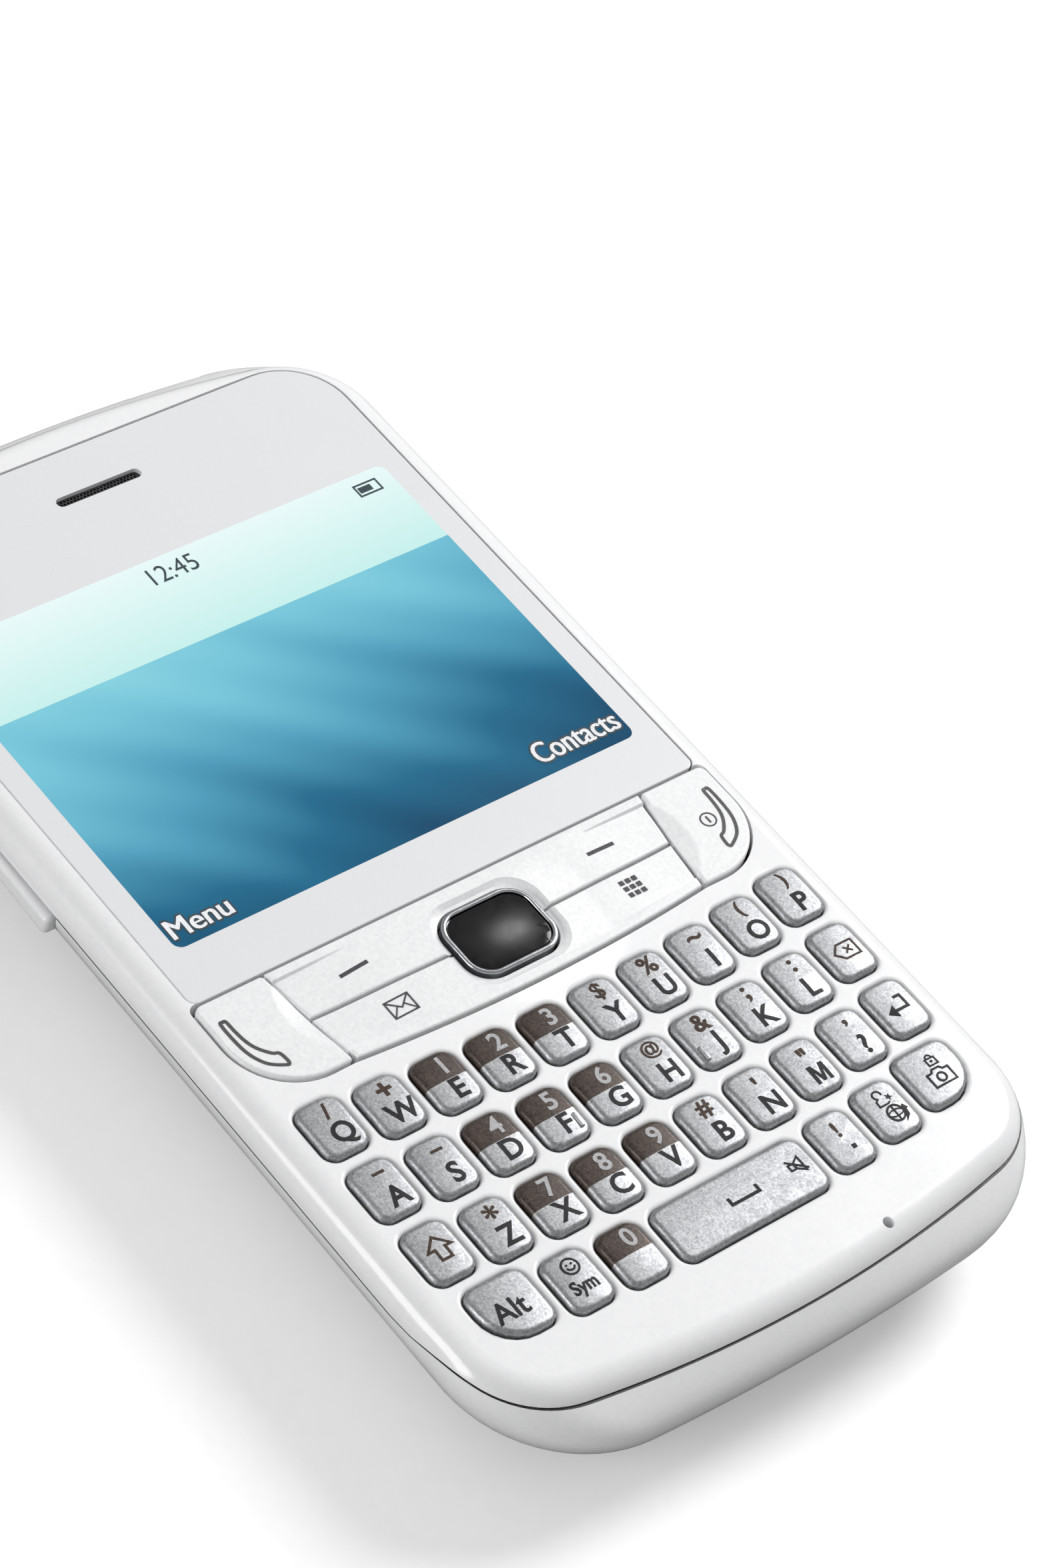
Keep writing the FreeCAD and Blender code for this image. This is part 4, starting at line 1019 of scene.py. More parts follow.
def effect(name, *outputs):
    """Empty shader group of a position and a density, with its inner input and output."""
    tree = bpy.data.node_groups.new(name, "ShaderNodeTree")
    tree.interface.new_socket("Position", in_out="INPUT", socket_type="NodeSocketVector")
    tree.interface.new_socket("Per Metre", in_out="INPUT", socket_type="NodeSocketFloat")
    for socket in outputs:
        tree.interface.new_socket(socket, in_out="OUTPUT", socket_type="NodeSocketFloat")
    given, result = place(tree, "NodeGroupInput"), place(tree, "NodeGroupOutput")
    return tree, given.outputs["Position"], given.outputs["Per Metre"], result.inputs


def moulded_grain():
    """Fine grain: a height, and specks that differ from cell to cell."""
    tree, position, density, result = effect("moulded_grain", "Height", "Specks")
    noise = place(tree, "ShaderNodeTexNoise", {"Vector": position, "Scale": density, "Detail": 3.0})
    cells = place(tree, "ShaderNodeTexVoronoi", {"Vector": position, "Scale": density})
    tone = place(tree, "ShaderNodeRGBToBW", {"Color": cells.outputs["Color"]})
    both = reckon(tree, "ADD", noise.outputs["Fac"], tone.outputs["Val"])
    tree.links.new(noise.outputs["Fac"], result["Height"])
    tree.links.new(reckon(tree, "MULTIPLY", both, 0.5), result["Specks"])
    return tree


def handling_marks():
    """Soft smudges from handling, with a few finer streaks in them."""
    tree, position, density, result = effect("handling_marks", "Smudges")
    broad = place(tree, "ShaderNodeTexNoise", {"Vector": position, "Scale": density, "Detail": 4.0,
                                               "Distortion": 0.6})
    finer = reckon(tree, "MULTIPLY", density, 6.0)
    streaks = place(tree, "ShaderNodeTexNoise", {"Vector": position, "Scale": finer, "Detail": 2.0,
                                                 "Distortion": 2.0})
    blend = reckon(tree, "MULTIPLY", broad.outputs["Fac"], streaks.outputs["Fac"])
    tree.links.new(spread(tree, blend, 0.12, 0.4), result["Smudges"])
    return tree


grain_effect, marks_effect = moulded_grain(), handling_marks()


def finish(name, dark, light, rough, metal=0.0, coat=0.0, grain=3000.0, depth=0.0, specks=1.0,
           smudge=60.0, shine=0.5):
    """A finish whose colour runs between two tones by its specks and smudges."""
    material = bpy.data.materials.new(name)
    material.use_nodes = True
    tree = material.node_tree
    shader = tree.nodes["Principled BSDF"]
    position = place(tree, "ShaderNodeTexCoord").outputs["Object"]
    fine = place(tree, "ShaderNodeGroup", {"Position": position, "Per Metre": grain},
                 node_tree=grain_effect)
    smudges = place(tree, "ShaderNodeGroup", {"Position": position, "Per Metre": smudge},
                    node_tree=marks_effect).outputs["Smudges"]
    tone = place(tree, "ShaderNodeMix", {"Factor": specks, "A": smudges,
                                         "B": fine.outputs["Specks"]})
    tree.links.new(ramp(tree, tone.outputs["Result"], (0.25, dark), (0.75, light)),
                   shader.inputs["Base Color"])
    tree.links.new(spread(tree, smudges, 0.0, 1.0, rough * 0.85, rough * 1.2),
                   shader.inputs["Roughness"])
    shader.inputs["Metallic"].default_value = metal
    shader.inputs["Coat Weight"].default_value = coat
    shader.inputs["Specular IOR Level"].default_value = shine
    shader.inputs["Coat Roughness"].default_value = 0.04
    if depth:
        bump = place(tree, "ShaderNodeBump", {"Height": fine.outputs["Height"], "Distance": depth,
                                              "Strength": 1.0})
        tree.links.new(bump.outputs["Normal"], shader.inputs["Normal"])
    return material


white_shell = finish("white_shell", (0.835, 0.84, 0.85), (0.87, 0.872, 0.88), 0.2, coat=0.3,
                     grain=2600, depth=1.0e-6)
bar_white = finish("grained_white", (0.775, 0.78, 0.79), (0.86, 0.865, 0.87), 0.36, coat=0.12,
                   grain=3600, depth=0.9e-5)
silver = finish("silver_lacquer", (0.25, 0.255, 0.265), (0.46, 0.465, 0.475), 0.46, metal=0.88,
                grain=6500, depth=0.5e-5)
brown_glaze = finish("brown_glaze", (0.03, 0.021, 0.017), (0.095, 0.07, 0.058), 0.36, metal=0.4,
                     grain=6500, depth=0.4e-5)
chrome = finish("polished_chrome", (0.4, 0.41, 0.43), (0.52, 0.53, 0.54), 0.14, metal=1.0,
                grain=900, depth=1e-6, specks=0.2)
black_gloss = finish("black_glass", (0.002, 0.002, 0.0025), (0.006, 0.006, 0.007), 0.12,
                     grain=600, specks=0.2, shine=0.35)
lens_border = finish("lens_border", (0.75, 0.755, 0.77), (0.765, 0.77, 0.78), 0.3, coat=1.0,
                     grain=5000, smudge=9.0)
INK = {"grain": 9000, "shine": 0.15}
charcoal_ink = finish("charcoal_ink", (0.01, 0.01, 0.012), (0.03, 0.03, 0.034), 0.5, **INK)
brown_ink = finish("brown_ink", (0.03, 0.018, 0.013), (0.09, 0.058, 0.042), 0.5, **INK)
grey_ink = finish("grey_ink", (0.34, 0.34, 0.35), (0.52, 0.52, 0.53), 0.4, **INK)
mark_ink = finish("mark_ink", (0.05, 0.05, 0.057), (0.1, 0.1, 0.11), 0.45, **INK)
# Painted shade: the dark of the seam's gap, of the groove round each handset inlay and of the
# inlay's sides that face +X and +Y.
painted_shade = finish("groove_shadow", (0.03, 0.03, 0.033), (0.07, 0.07, 0.075), 0.5, grain=9000)
dark_mesh = finish("dark_mesh", (0.02, 0.02, 0.022), (0.09, 0.09, 0.095), 0.4, metal=0.7,
                   grain=5000, depth=6e-6)
black_plastic = finish("black_plastic", (0.012, 0.012, 0.013), (0.035, 0.035, 0.037), 0.42,
                       grain=2500, depth=6e-6)
camera_glass = finish("camera_glass", (0.004, 0.006, 0.012), (0.02, 0.03, 0.06), 0.05, coat=1.0,
                      grain=500, specks=0.1)
socket_metal = finish("socket_metal", (0.45, 0.44, 0.42), (0.7, 0.69, 0.66), 0.25, metal=1.0,
                      grain=4000, depth=3e-6)
screw_steel = finish("screw_steel", (0.35, 0.35, 0.36), (0.6, 0.6, 0.61), 0.3, metal=1.0,
                     grain=5000, depth=4e-6)
board_green = finish("circuit_board", (0.01, 0.06, 0.025), (0.03, 0.16, 0.07), 0.4, coat=0.4,
                     grain=1500, depth=8e-6)
membrane_grey = finish("membrane_rubber", (0.06, 0.06, 0.065), (0.13, 0.13, 0.135), 0.6,
                       grain=2600, depth=8e-6)
dome_film = finish("dome_film", (0.45, 0.42, 0.3), (0.7, 0.66, 0.5), 0.3, coat=0.4, grain=900)
battery_wrap = finish("battery_wrap", (0.03, 0.035, 0.05), (0.08, 0.09, 0.12), 0.45, coat=0.2,
                      grain=1800, depth=5e-6)
display_frame = finish("display_frame", (0.02, 0.02, 0.022), (0.06, 0.06, 0.065), 0.35, coat=0.4,
                       grain=2500, depth=3e-6)


def lit(name, dark, light):
    """Lit ink of the display: its colour shines evenly and it lies under the gloss."""
    material = finish(name, dark, light, 0.12, coat=1.0, grain=4000)
    shader = material.node_tree.nodes["Principled BSDF"]
    source = shader.inputs["Base Color"].links[0].from_socket
    material.node_tree.links.new(source, shader.inputs["Emission Color"])
    shader.inputs["Emission Strength"].default_value = 0.95
    material.node_tree.links.remove(shader.inputs["Base Color"].links[0])
    shader.inputs["Base Color"].default_value = (0.02, 0.02, 0.02, 1)
    return material


lit_white = lit("lit_white", (0.8, 0.82, 0.85), (0.98, 0.98, 1.0))
lit_outline = lit("lit_outline", (0.004, 0.02, 0.035), (0.01, 0.04, 0.06))


def picture_material():
    """Lit picture: a pale sky band over water that deepens from cyan to blue, with soft waves."""
    material = bpy.data.materials.new("display_picture")
    material.use_nodes = True
    tree = material.node_tree
    shader = tree.nodes["Principled BSDF"]
    position = place(tree, "ShaderNodeTexCoord").outputs["Object"]
    axes = place(tree, "ShaderNodeSeparateXYZ", {"Vector": position}).outputs
    across = spread(tree, axes["X"], -PICTURE_HALF * MM, PICTURE_HALF * MM, high=0.16)
    deep = spread(tree, axes["Y"], HORIZON * MM, PICTURE_LOW * MM, high=0.72)
    total = reckon(tree, "ADD", deep, across)
    for density, bend, share in ((26.0, 2.6, 0.13), (72.0, 3.0, 0.05)):
        waves = place(tree, "ShaderNodeTexWave", {"Vector": position, "Scale": density,
                                                  "Distortion": bend, "Detail": 1.0,
                                                  "Detail Scale": 0.4},
                      wave_type="BANDS", bands_direction="DIAGONAL", wave_profile="SIN")
        total = reckon(tree, "ADD", total, reckon(tree, "MULTIPLY", waves.outputs["Fac"], share))
    water = ramp(tree, total, (0.0, (0.25, 0.65, 0.75)), (0.25, (0.17, 0.54, 0.68)),
                 (0.5, (0.075, 0.34, 0.5)), (0.75, (0.01, 0.14, 0.26)), (1.0, (0.0, 0.055, 0.13)))
    sky = ramp(tree, spread(tree, axes["Y"], HORIZON * MM, PICTURE_HIGH * MM),
               (0.0, (0.56, 0.86, 0.83)), (1.0, (0.80, 0.94, 0.93)))
    above = reckon(tree, "GREATER_THAN", axes["Y"], HORIZON * MM)
    both = place(tree, "ShaderNodeMixRGB", {"Fac": above, "Color1": water, "Color2": sky})
    tree.links.new(both.outputs["Color"], shader.inputs["Emission Color"])
    shader.inputs["Emission Strength"].default_value = 1.0
    shader.inputs["Base Color"].default_value = (0.01, 0.01, 0.012, 1)
    shader.inputs["Roughness"].default_value = 0.12
    shader.inputs["Specular IOR Level"].default_value = 0.12
    return material


# ---- Legends of the keyboard: letter and the mark above it ----
LETTER_AT = (0.4, -0.88)
UPPER_AT = (0.3, 1.55)
LETTER_HEIGHT = 1.83
DIGIT_HEIGHT = 1.7
MARK_HEIGHT = 1.7
MARK_HEIGHTS = {"%": 1.65, "&": 1.65, "#": 1.6, "$": 1.55, "@": 1.25, "/": 1.45, "(": 1.3,
                ")": 1.3, "*": 2.1, "+": 1.9, "~": 1.8, ";": 1.8, ":": 1.8}
LETTER_M = ((-0.85, -0.915), (-0.85, 0.915), (-0.4, 0.915), (0, -0.3), (0.4, 0.915),
            (0.85, 0.915), (0.85, -0.915), (0.51, -0.915), (0.51, 0.38), (0.15, -0.8),
            (-0.15, -0.8), (-0.51, 0.38), (-0.51, -0.915))
LEGENDS = {"q": "Q/", "w": "W+", "e": "E1", "r": "R2", "t": "T3", "y": "Y$", "u": "U%", "i": "I~",
           "o": "O(", "p": "P)", "a": "A_", "s": "S-", "d": "D4", "f": "F5", "g": "G6", "h": "H@",
           "j": "J&", "k": "K;", "l": "L:", "z": "Z*", "x": "X7", "c": "C8", "v": "V9", "b": "B#",
           "n": "N'", "m": 'M"', "question": "?,"}
DIGIT_KEYS = [name for name, pair in LEGENDS.items() if pair[1].isdigit()] + ["zero"]


def letter_sheets(name, x, y):
    """Printed letter of a key and the digit or mark above it."""
    letter, upper = LEGENDS[name]
    letter_x, letter_y = x + LETTER_AT[0], y + LETTER_AT[1]
    upper_x, upper_y = x + UPPER_AT[0], y + UPPER_AT[1]
    if letter == "M":
        sheets = [patch(LETTER_M, letter_x, letter_y, charcoal_ink)]
    else:
        sheets = [words(letter, letter_x, letter_y, LETTER_HEIGHT, charcoal_ink)]
    if upper.isdigit():
        return sheets + [words(upper, upper_x + 0.15, upper_y, DIGIT_HEIGHT, grey_ink)]
    if upper in "_-":
        return sheets + [patch(rectangle(0, 0, 1.15, 0.26), upper_x, upper_y, brown_ink)]
    height = MARK_HEIGHTS.get(upper, MARK_HEIGHT)
    return sheets + [words(upper, upper_x, upper_y, height, brown_ink,
                           0.02 if upper in "$*@" else 0.032)]


def shift_sheets(x, y):
    arrow = ((0, 1.15), (1.15, 0), (0.5, 0), (0.5, -1.05), (-0.5, -1.05), (-0.5, 0), (-1.15, 0))
    return [line(arrow, 0.24, x + 0.14, y + 0.25, brown_ink, closed=True)]


def backspace_sheets(x, y):
    tag = ((-1.2, 0), (-0.5, 0.78), (1.15, 0.78), (1.15, -0.78), (-0.5, -0.78))
    return [line(tag, 0.19, x + 0.1, y, brown_ink, closed=True)] + [
        line(((-0.1, rise), (0.6, -rise)), 0.17, x + 0.1, y, brown_ink) for rise in (0.32, -0.32)]


def enter_sheets(x, y):
    hook = ((0.25, 1.0), (0.95, 1.0), (0.95, -0.25), (-0.5, -0.25))
    return [line(hook, 0.27, x, y, charcoal_ink),
            patch(((-1.25, -0.25), (-0.4, 0.4), (-0.4, -0.9)), x, y, charcoal_ink)]


def alt_sheets(x, y):
    return [words("Alt", x - 0.35, y - 0.15, 1.8, charcoal_ink, weight=0.022, span=3.2)]


def sym_sheets(x, y):
    face_x, face_y = x + 0.1, y + 1.35
    return [words("Sym", x, y - 0.75, 1.2, charcoal_ink, narrow=0.86),
            circle(0.75, 0.18, face_x, face_y, charcoal_ink),
            line(arc(0, 0.08, 0.42, 200, 340, 8), 0.16, face_x, face_y, charcoal_ink),
            dot(0.1, face_x - 0.24, face_y + 0.2, charcoal_ink),
            dot(0.1, face_x + 0.24, face_y + 0.2, charcoal_ink)]


def zero_sheets(x, y):
    return [words("0", x + UPPER_AT[0] + 0.2, y + UPPER_AT[1], DIGIT_HEIGHT, grey_ink)]


def space_sheets(x, y):
    bracket = ((-1.45, 0.35), (-1.45, -0.35), (1.45, -0.35), (1.45, 0.35))
    horn = ((-0.15, 0.28), (0.55, 0.72), (0.55, -0.72), (-0.15, -0.28))
    box = ((-0.2, 0.28), (-0.75, 0.28), (-0.75, -0.28), (-0.2, -0.28))
    speaker = (x + 6.05, y + 0.3, charcoal_ink)
    return [line(bracket, 0.28, x + 0.25, y + 0.25, charcoal_ink),
            line(horn, 0.17, *speaker, closed=True), line(box, 0.17, *speaker, closed=True),
            line(((-0.8, 0.7), (0.85, -0.65)), 0.17, *speaker)]


def period_sheets(x, y):
    return [words("!", x + 0.1, y + 1.05, 1.45, brown_ink),
            patch(rectangle(0, 0, 0.42, 0.42), x + 0.45, y - 0.95, charcoal_ink)]


def web_sheets(x, y):
    points = [(0.38 * (1 if step % 2 else 0.42), math.pi * step / 5) for step in range(10)]
    star = [(reach * math.sin(turn), reach * math.cos(turn)) for reach, turn in points]
    person = [(0.62, -0.62), (0.35, -0.75), (-0.55, -0.75), (-0.5, -0.2)]
    person += arc(0, 0.35, 0.42, -60, 240, 14)[::-1][:13]
    arrow = ((0.35, -1.12), (1.0, -0.65), (1.12, 0.0), (1.32, -0.03), (1.02, 0.5), (0.6, 0.08),
             (0.82, 0.04), (0.72, -0.5))
    globe = (x + 0.35, y - 0.55, charcoal_ink)
    return [line(person, 0.16, x + 0.05, y + 1.25, charcoal_ink),
            patch(star, x + 0.85, y + 1.05, charcoal_ink),
            circle(0.78, 0.18, *globe), circle(0.76, 0.12, *globe, flat=0.42),
            line(((0, 0.76), (0, -0.76)), 0.12, *globe), patch(arrow, *globe)]


def camera_sheets(x, y):
    body = ((-1.15, -0.8), (1.15, -0.8), (1.15, 0.55), (0.62, 0.55), (0.4, 0.85), (-0.4, 0.85),
            (-0.62, 0.55), (-1.15, 0.55))
    shackle = [(0.3, 0.05)] + arc(0, 0.1, 0.3, 0, 180, 8) + [(-0.3, 0.05)]
    lock = (x + 0.35, y + 1.5, charcoal_ink)
    return [line(rectangle(0, -0.3, 0.95, 0.7), 0.15, *lock, closed=True),
            line(shackle, 0.15, *lock), dot(0.13, x + 0.35, y + 1.5 - 0.28, charcoal_ink),
            line(body, 0.18, x + 0.1, y - 0.35, charcoal_ink, closed=True),
            circle(0.42, 0.17, x + 0.1, y - 0.45, charcoal_ink)]


OTHER_LEGENDS = {"shift": shift_sheets, "backspace": backspace_sheets, "enter": enter_sheets,
                 "alt": alt_sheets, "sym": sym_sheets, "zero": zero_sheets,
                 "space": space_sheets, "period": period_sheets, "web": web_sheets,
                 "camera": camera_sheets}


GUIDE_SIZE = (0.36, 1.5)
GUIDE_INSET = 0.75
GUIDE_ROUNDING = 0.1


def finger_guide(node):
    """Raised bar near one edge of the F and the J key."""
    x, y, width, height = key_place(node)
    x += (1 if node == "key_f" else -1) * (width / 2 - GUIDE_INSET)
    corners = rectangle(x, y - height / 4 + 0.1, *GUIDE_SIZE)
    guide = plug("finger_guide", corners, KEY_TOP - 0.5, node_span("key_f")[1].z)
    return paint(bevelled(guide, GUIDE_ROUNDING), silver)


def keyboard():
    """Every key with its finish and its printed marks."""
    for node, cap in over_keys("_cap", key_cap).items():
        name = node[4:]
        x, y = node_middle(node)
        paint(cap, silver)
        if name in ("f", "j"):
            joined([cap, finger_guide(node)], cap.name)
        if name in DIGIT_KEYS:
            paint(cap, brown_glaze)
            paint_faces(cap, lambda face: face.center.y > y + SPLIT_RISE)
        printed(cap, letter_sheets(name, x, y) if name in LEGENDS else OTHER_LEGENDS[name](x, y))
        settle(cap, node, [node])


# ---- Marks and inlays of the function keys ----
def dash_marks():
    """Soft-key dashes of the upper bar."""
    return [line(((-1.45, -0.09), (1.45, 0.05)), 0.36, -13.24, -9.72, mark_ink),
            line(((-1.45, 0), (1.45, 0)), 0.36, 13.25, -9.71, mark_ink)]


def shortcut_marks():
    """Envelope and a grid of small squares on the lower bar."""
    envelope = (-12.12, -14.74, mark_ink)
    marks = [line(rectangle(0, 0, 2.35, 1.75), 0.15, *envelope, closed=True),
             line(((-1.1, 0.8), (0, -0.15), (1.1, 0.8)), 0.14, *envelope),
             line(((-1.1, -0.8), (-0.35, 0.12)), 0.12, *envelope),
             line(((1.1, -0.8), (0.35, 0.12)), 0.12, *envelope)]
    for column in (-1, 0, 1):
        for row in (-1, 0, 1):
            marks.append(patch(rectangle(0, 0, 0.46, 0.46), 13.1 + 0.7 * column,
                               -14.3 + 0.7 * row, mark_ink))
    return marks


def power_mark():
    power = (23.68, -11.78, mark_ink)
    return [circle(0.72, 0.13, *power), line(((0, 0.38), (0, -0.38)), 0.16, *power)]


HANDSET = ((25.44, -9.06), (25.68, -8.95), (25.97, -9.06), (26.0, -10.5), (25.85, -12.2),
           (25.45, -13.4), (24.8, -14.3), (23.7, -14.98), (23.42, -14.95), (23.36, -14.6),
           (23.52, -13.75), (24.05, -13.45), (24.8, -12.5), (25.2, -11.5), (25.38, -10.15))
CALL_MARK_SHIFT = 0.3       # the call key's mark lies this much further out


def smoothed(points, steps=4):
    """Closed outline through points with soft bends between them."""
    spots = [Vector(point) for point in points]
    count = len(spots)
    outline = []
    for index in range(count):
        before, start, end, after = (spots[(index + turn) % count] for turn in (-1, 0, 1, 2))
        for step in range(steps):
            t = step / steps
            outline.append(tuple((start * 2 + (end - before) * t
                                  + (before * 2 - start * 5 + end * 4 - after) * t ** 2
                                  + (start * 3 - before - end * 3 + after) * t ** 3) / 2))
    return outline


def handset_outline(side):
    """Outline of the handset mark of the call key (-1) or the end key (1)."""
    return smoothed([(side * x - (CALL_MARK_SHIFT if side < 0 else 0), y)
                     for x, y in HANDSET])


INLAY_RISE = 0.08
INLAY_ROUNDING = 0.2
GROOVE_WIDTH = 0.3


def handset_inlay(side):
    """Bright inlay in a dark groove; its rounded sides that face +X and +Y are painted shade."""
    inlay = plug("handset_inlay", handset_outline(side), function_top - 0.4,
                 function_top + INLAY_RISE)
    paint(bevelled(inlay, INLAY_ROUNDING, 5, 60), chrome, painted_shade)

    # Sides turned towards +X and +Y get painted shade.
    def in_shade(face):
        return face.normal.z < 0.8 and face.normal.x + 1.3 * face.normal.y > 0.3
    return paint_faces(inlay, in_shade)


def function_keys():
    """Call and end keys with their inlays, and both rocking bars with their marks."""
    for side, body in ((-1, "call_key"), (1, "end_key")):
        key = paint(side_key(side), bar_white)
        # The dark groove round the inlay is a flat sheet of painted shade, not a cut.
        groove = line(handset_outline(side), GROOVE_WIDTH, 0, 0, painted_shade, closed=True)
        printed(key, [groove] + (power_mark() if side > 0 else []))
        joined([key, handset_inlay(side)], key.name)
        settle(key, body, [body], smooth=24)
    for upper, body in ((True, "soft_key_bar"), (False, "shortcut_key_bar")):
        bar = paint(function_bar(upper), bar_white)
        printed(bar, dash_marks() if upper else shortcut_marks())
        settle(bar, body, [body], smooth=24)


# ---- Display and earpiece ----
GRILLE_PITCH = (0.36, 0.3)
GRILLE_HOLE_R = 0.12
SOFT_LABELS = (("Menu", -21.1, 1.0, 2.0, 6.1),          # text, place, height and span
               ("Contacts", 19.5, 1.45, 2.2, 9.1))
SCREEN_INK_THICK = 0.012
STATUS_DROP = 1.9           # the status line lies this far below the picture's upper edge
OUTLINE_REACH = 0.25        # the dark outline shows this far round the white letters
BOLDNESS = 0.06             # each letter is printed three times, this far apart


def earpiece_slot(low, reach=0.0, high=face_z + ABOVE, name="earpiece_slot"):
    """Plug of the slot in front of the earpiece."""
    width, height = (size + 2 * reach for size in EARPIECE_SLOT)
    corners = rectangle(*node_middle("earpiece"), width, height)
    return plug(name, corners, low, high, [EARPIECE_SLOT[1] / 2 - 0.01 + reach] * 4)


def earpiece_grille():
    """Perforated plate in the slot."""
    x, y = node_middle("earpiece")
    plate = earpiece_slot(lens_low.z + 0.35, 0, lens_low.z + 0.55, "earpiece_grille")
    hole = drum("hole", 10, GRILLE_HOLE_R, 2, (0, 0, lens_low.z))
    across, along = GRILLE_PITCH
    holes = [copied(hole, "hole", x + across * (column + 0.5 * (row % 2)), y + along * row)
             for row in (-1, 0, 1) for column in range(-11, 12 - row % 2)]
    throw_away(hole)
    return cut_away(plate, joined(holes, "grille_holes"))


def outlined(text, x, y, height, span):
    """Bold white letters over a dark outline."""
    turns = [math.radians(60 * step) for step in range(6)]
    inks = [(x + OUTLINE_REACH * math.cos(turn), y + OUTLINE_REACH * math.sin(turn), lit_outline)
            for turn in turns]
    inks += [(x + BOLDNESS * step, y, lit_white) for step in (-1, 0, 1)]
    return [words(text, at_x, at_y, height, ink, weight=0, span=span) for at_x, at_y, ink in inks]


def status_marks():
    """Clock, signal bars and battery sign along the top of the picture."""
    y = PICTURE_HIGH - STATUS_DROP
    marks = [words("12:45", 0, y, 1.9, lit_outline, weight=0, narrow=0.9)]
    for step in range(4):
        bar = rectangle(0, 0.2 * step, 0.5, 0.8 + 0.4 * step)
        marks.append(patch(bar, -22.5 + 0.8 * step, y - 0.5, lit_outline))
    return marks + [line(rectangle(0, 0, 2.4, 1.3), 0.2, 21.6, y, lit_outline, closed=True),
                    patch(rectangle(0, 0, 1.4, 0.7), 21.3, y, lit_outline)]


def display():
    """Lens with its border, the lit picture flush in it, and the earpiece grille."""
    lens = cut_away(display_window(), earpiece_slot(INSIDE))
    settle(paint(lens, lens_border), "housing", ["display_lens"])
    picture = paint(display_picture(), picture_material())
    labels = [sheet for label in SOFT_LABELS for sheet in outlined(*label)]
    printed(picture, labels + status_marks(), thick=SCREEN_INK_THICK)
    settle(picture, "housing")
    settle(paint(earpiece_grille(), dark_mesh), "housing")


# ---- Small parts in the shell ----
def volume_rocker():
    """Long key with rounded ends in the left wall."""
    y = node_middle("volume_key")[1]
    corners = rectangle(volume_low.x + VOLUME_DEPTH / 2, y, VOLUME_DEPTH, VOLUME_LENGTH)
    rocker = block("volume_rocker", corners, volume_low.z, volume_high.z)
    slice_at(1, [y])
    shift(lambda co: abs(co.y - y) < TINY and co.x < volume_low.x + 0.1, x=VOLUME_WAIST)
    leave_edit()
    return bevelled(rocker, VOLUME_ROUNDING, 6)


CAMERA_RING_DEPTH = 0.7
CAMERA_RING_Z = 0.39
CAMERA_STEPS = ((0.55, 0.2), (1.3, 0.12))   # width and depth of its steps
CAMERA_GLASS_R = 2.5


def camera_trim():
    """Bright ring and dark glass round the camera in the back."""
    x, y = node_middle("camera_module")
    ring = drum("camera_ring", 96, CAMERA_WINDOW_R - CAMERA_GAP, CAMERA_RING_DEPTH,
                (x, y, CAMERA_RING_Z))
    edit(ring)
    choose("FACE", lambda face: face.normal.z < -0.9)
    for width, rise in CAMERA_STEPS:
        bpy.ops.mesh.inset(thickness=width)
        draw_out(rise)
    leave_edit()
    paint(bevelled(ring, 0.08), chrome, camera_glass)

    def is_glass(face):
        spot = face.center
        return face.normal.z < -0.5 and math.hypot(spot.x - x, spot.y - y) < CAMERA_GLASS_R
    return paint_faces(ring, is_glass)


def refined(node, finish_of, trimmed=False):
    """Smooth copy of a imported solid, cut back to the shell's rounded end if wanted."""
    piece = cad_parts[node].copy()
    piece.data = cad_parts[node].data.copy()
    piece.parent = None
    piece.name = piece.data.name = node + "_finished"
    for mark in [key for key in piece.keys() if key.startswith("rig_")]:
        del piece[mark]
    bpy.context.collection.objects.link(piece)
    piece.data.materials.clear()
    edit(piece, whole=True)
    bpy.ops.mesh.remove_doubles(threshold=1e-6)
    leave_edit()
    piece.scale = (1 / MM,) * 3
    bpy.ops.object.transform_apply(scale=True)
    if trimmed:
        cut_away(piece, rear_loft(node + "_trim", SOCKET_INSET), keep="INTERSECT")
    settle(paint(piece, finish_of), "housing", [node])


def inner_parts():
    """Finishes of the parts inside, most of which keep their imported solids."""
    finishes = {"lcd_module": display_frame, "keypad_membrane": membrane_grey,
                "dome_sheet": dome_film, "main_board": board_green, "battery": battery_wrap,
                "loudspeaker": black_plastic, "earpiece": black_plastic,
                "microphone": socket_metal}
    for node, inner_finish in finishes.items():
        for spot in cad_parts[node].material_slots:
            spot.material = inner_finish
    refined("camera_module", black_plastic)
    refined("housing_screws", screw_steel)
    refined("headset_jack", black_plastic, trimmed=True)
    refined("usb_socket", socket_metal, trimmed=True)


# ---- Put together ----
RIM_DEPTH = 0.4


def shade_rim(rear):
    """Paint the rim of the rear shell, which lies in the shadow of the seam, with painted shade as
    its second material.
    """
    on_rim = [vert.co.z > face_z - seam_drop(vert.co.y) - SEAM_GAP - RIM_DEPTH
              for vert in rear.data.vertices]
    return paint_faces(rear, lambda face: all(on_rim[index] for index in face.vertices))


def shells():
    front = cut_away(front_shell(), earpiece_slot(INSIDE, -0.05))
    settle(paint(front, white_shell), "housing", ["front_housing"])
    rear, cover = rear_pieces()
    # The rim in the seam's gap gets painted shade.
    shade_rim(paint(rear, white_shell, painted_shade))
    settle(rear, "housing", ["rear_housing"])
    settle(paint(cover, white_shell), "housing", ["battery_cover"])
    settle(paint(volume_rocker(), white_shell), "volume_key", ["volume_key"])
    settle(camera_trim(), "housing")


def navigation_pad():
    ring, glass = navigation()
    settle(paint(ring, chrome), "nav", ["nav_ring"])
    settle(paint(glass, black_gloss), "nav", ["nav_pad"])


shells()
keyboard()
function_keys()
navigation_pad()
display()
inner_parts()


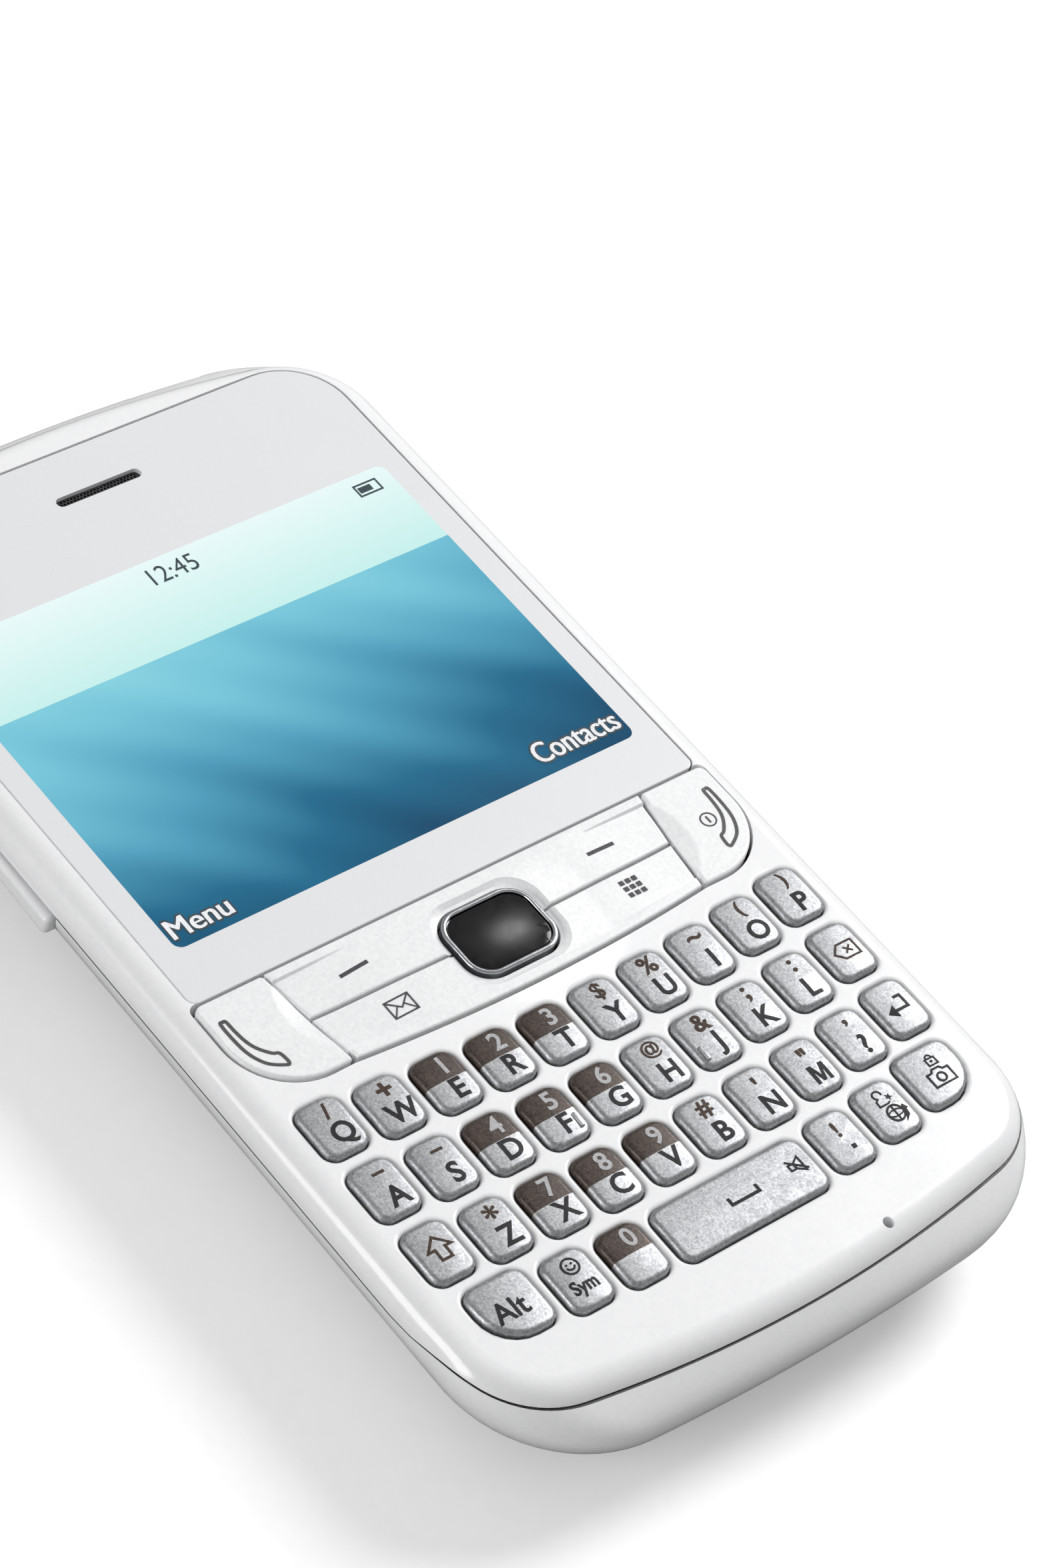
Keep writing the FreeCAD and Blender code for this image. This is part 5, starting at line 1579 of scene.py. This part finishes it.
# ---- Camera, light and floor ----
FLOOR_GLOW = 0.2
FLOOR_BOUNCE = (0.32, 0.32, 0.32, 1)    # the paper's colour for the light that it throws back
SKY_LEVEL = 0.44
LAMPS = (("softbox", (0.62, 0.10, 0.48), 0.40, 5.2),        # name, place, size and watts
         ("side_light", (-0.6, 0.1, 0.22), 0.35, 1.7),
         ("glint", (0.4104, 0.2975, 0.5893), 0.034, 0.04))
FLOOR_SIZE = 3
FLOOR_DROP = 0.0002
FOCAL_LENGTH = 107.143
SENSOR_WIDTH = 36
CAMERA_SPOT = (-199.189, -171.247, 300.398)
CAMERA_RIGHT = (0.765940, -0.611403, 0.198802)
CAMERA_UP = (0.359951, 0.664027, 0.655365)
CAMERA_BACK = (-0.532702, -0.430412, 0.728680)


def aimed_lamp(name, spot, size, watts):
    """Round soft lamp that looks at the phone."""
    data = bpy.data.lights.new(name, "AREA")
    data.shape = "DISK"
    data.size = size
    data.energy = watts
    lamp = bpy.data.objects.new(name, data)
    lamp.location = spot
    lamp.rotation_euler = (-Vector(spot)).to_track_quat("-Z", "Y").to_euler()
    bpy.context.collection.objects.link(lamp)


def floor_paper():
    """Pale paper that the camera sees as white, with the phone's shadow on it."""
    material = finish("floor_paper", (0.9, 0.9, 0.9), (0.93, 0.93, 0.93), 0.8, grain=1200)
    tree = material.node_tree
    shader = tree.nodes["Principled BSDF"]
    seen = place(tree, "ShaderNodeLightPath").outputs["Is Camera Ray"]
    shader.inputs["Emission Color"].default_value = (1, 1, 1, 1)
    tree.links.new(reckon(tree, "MULTIPLY", seen, FLOOR_GLOW), shader.inputs["Emission Strength"])
    paper = shader.inputs["Base Color"].links[0].from_socket
    colour = place(tree, "ShaderNodeMixRGB", {"Fac": seen, "Color1": FLOOR_BOUNCE,
                                              "Color2": paper})
    tree.links.new(colour.outputs["Color"], shader.inputs["Base Color"])
    return material


def camera_view():
    """Camera low over the left of the bottom end, looking up along the phone."""
    data = bpy.data.cameras.new("camera")
    data.lens = FOCAL_LENGTH
    data.sensor_width = SENSOR_WIDTH
    data.clip_start = 0.01
    camera = bpy.data.objects.new("camera", data)
    turn = Matrix((CAMERA_RIGHT, CAMERA_UP, CAMERA_BACK)).transposed().to_4x4()
    camera.matrix_world = Matrix.Translation(Vector(CAMERA_SPOT) * MM) @ turn
    bpy.context.collection.objects.link(camera)
    bpy.context.scene.camera = camera


def floor_and_sky():
    bpy.ops.object.select_all(action="DESELECT")
    bpy.ops.mesh.primitive_plane_add(size=FLOOR_SIZE, location=(0, 0, -FLOOR_DROP))
    floor = bpy.context.object
    floor.name = "floor"
    paint(floor, floor_paper())
    world = bpy.data.worlds.new("studio")
    bpy.context.scene.world = world
    world.use_nodes = True
    sky = world.node_tree.nodes["Background"]
    sky.inputs["Color"].default_value = (1, 1, 1, 1)
    sky.inputs["Strength"].default_value = SKY_LEVEL


def studio():
    """Camera, pale floor, plain sky, two soft lamps and a small one for the pad's glint."""
    camera_view()
    floor_and_sky()
    for lamp in LAMPS:
        aimed_lamp(*lamp)
    bpy.context.scene.view_settings.view_transform = "Standard"


studio()
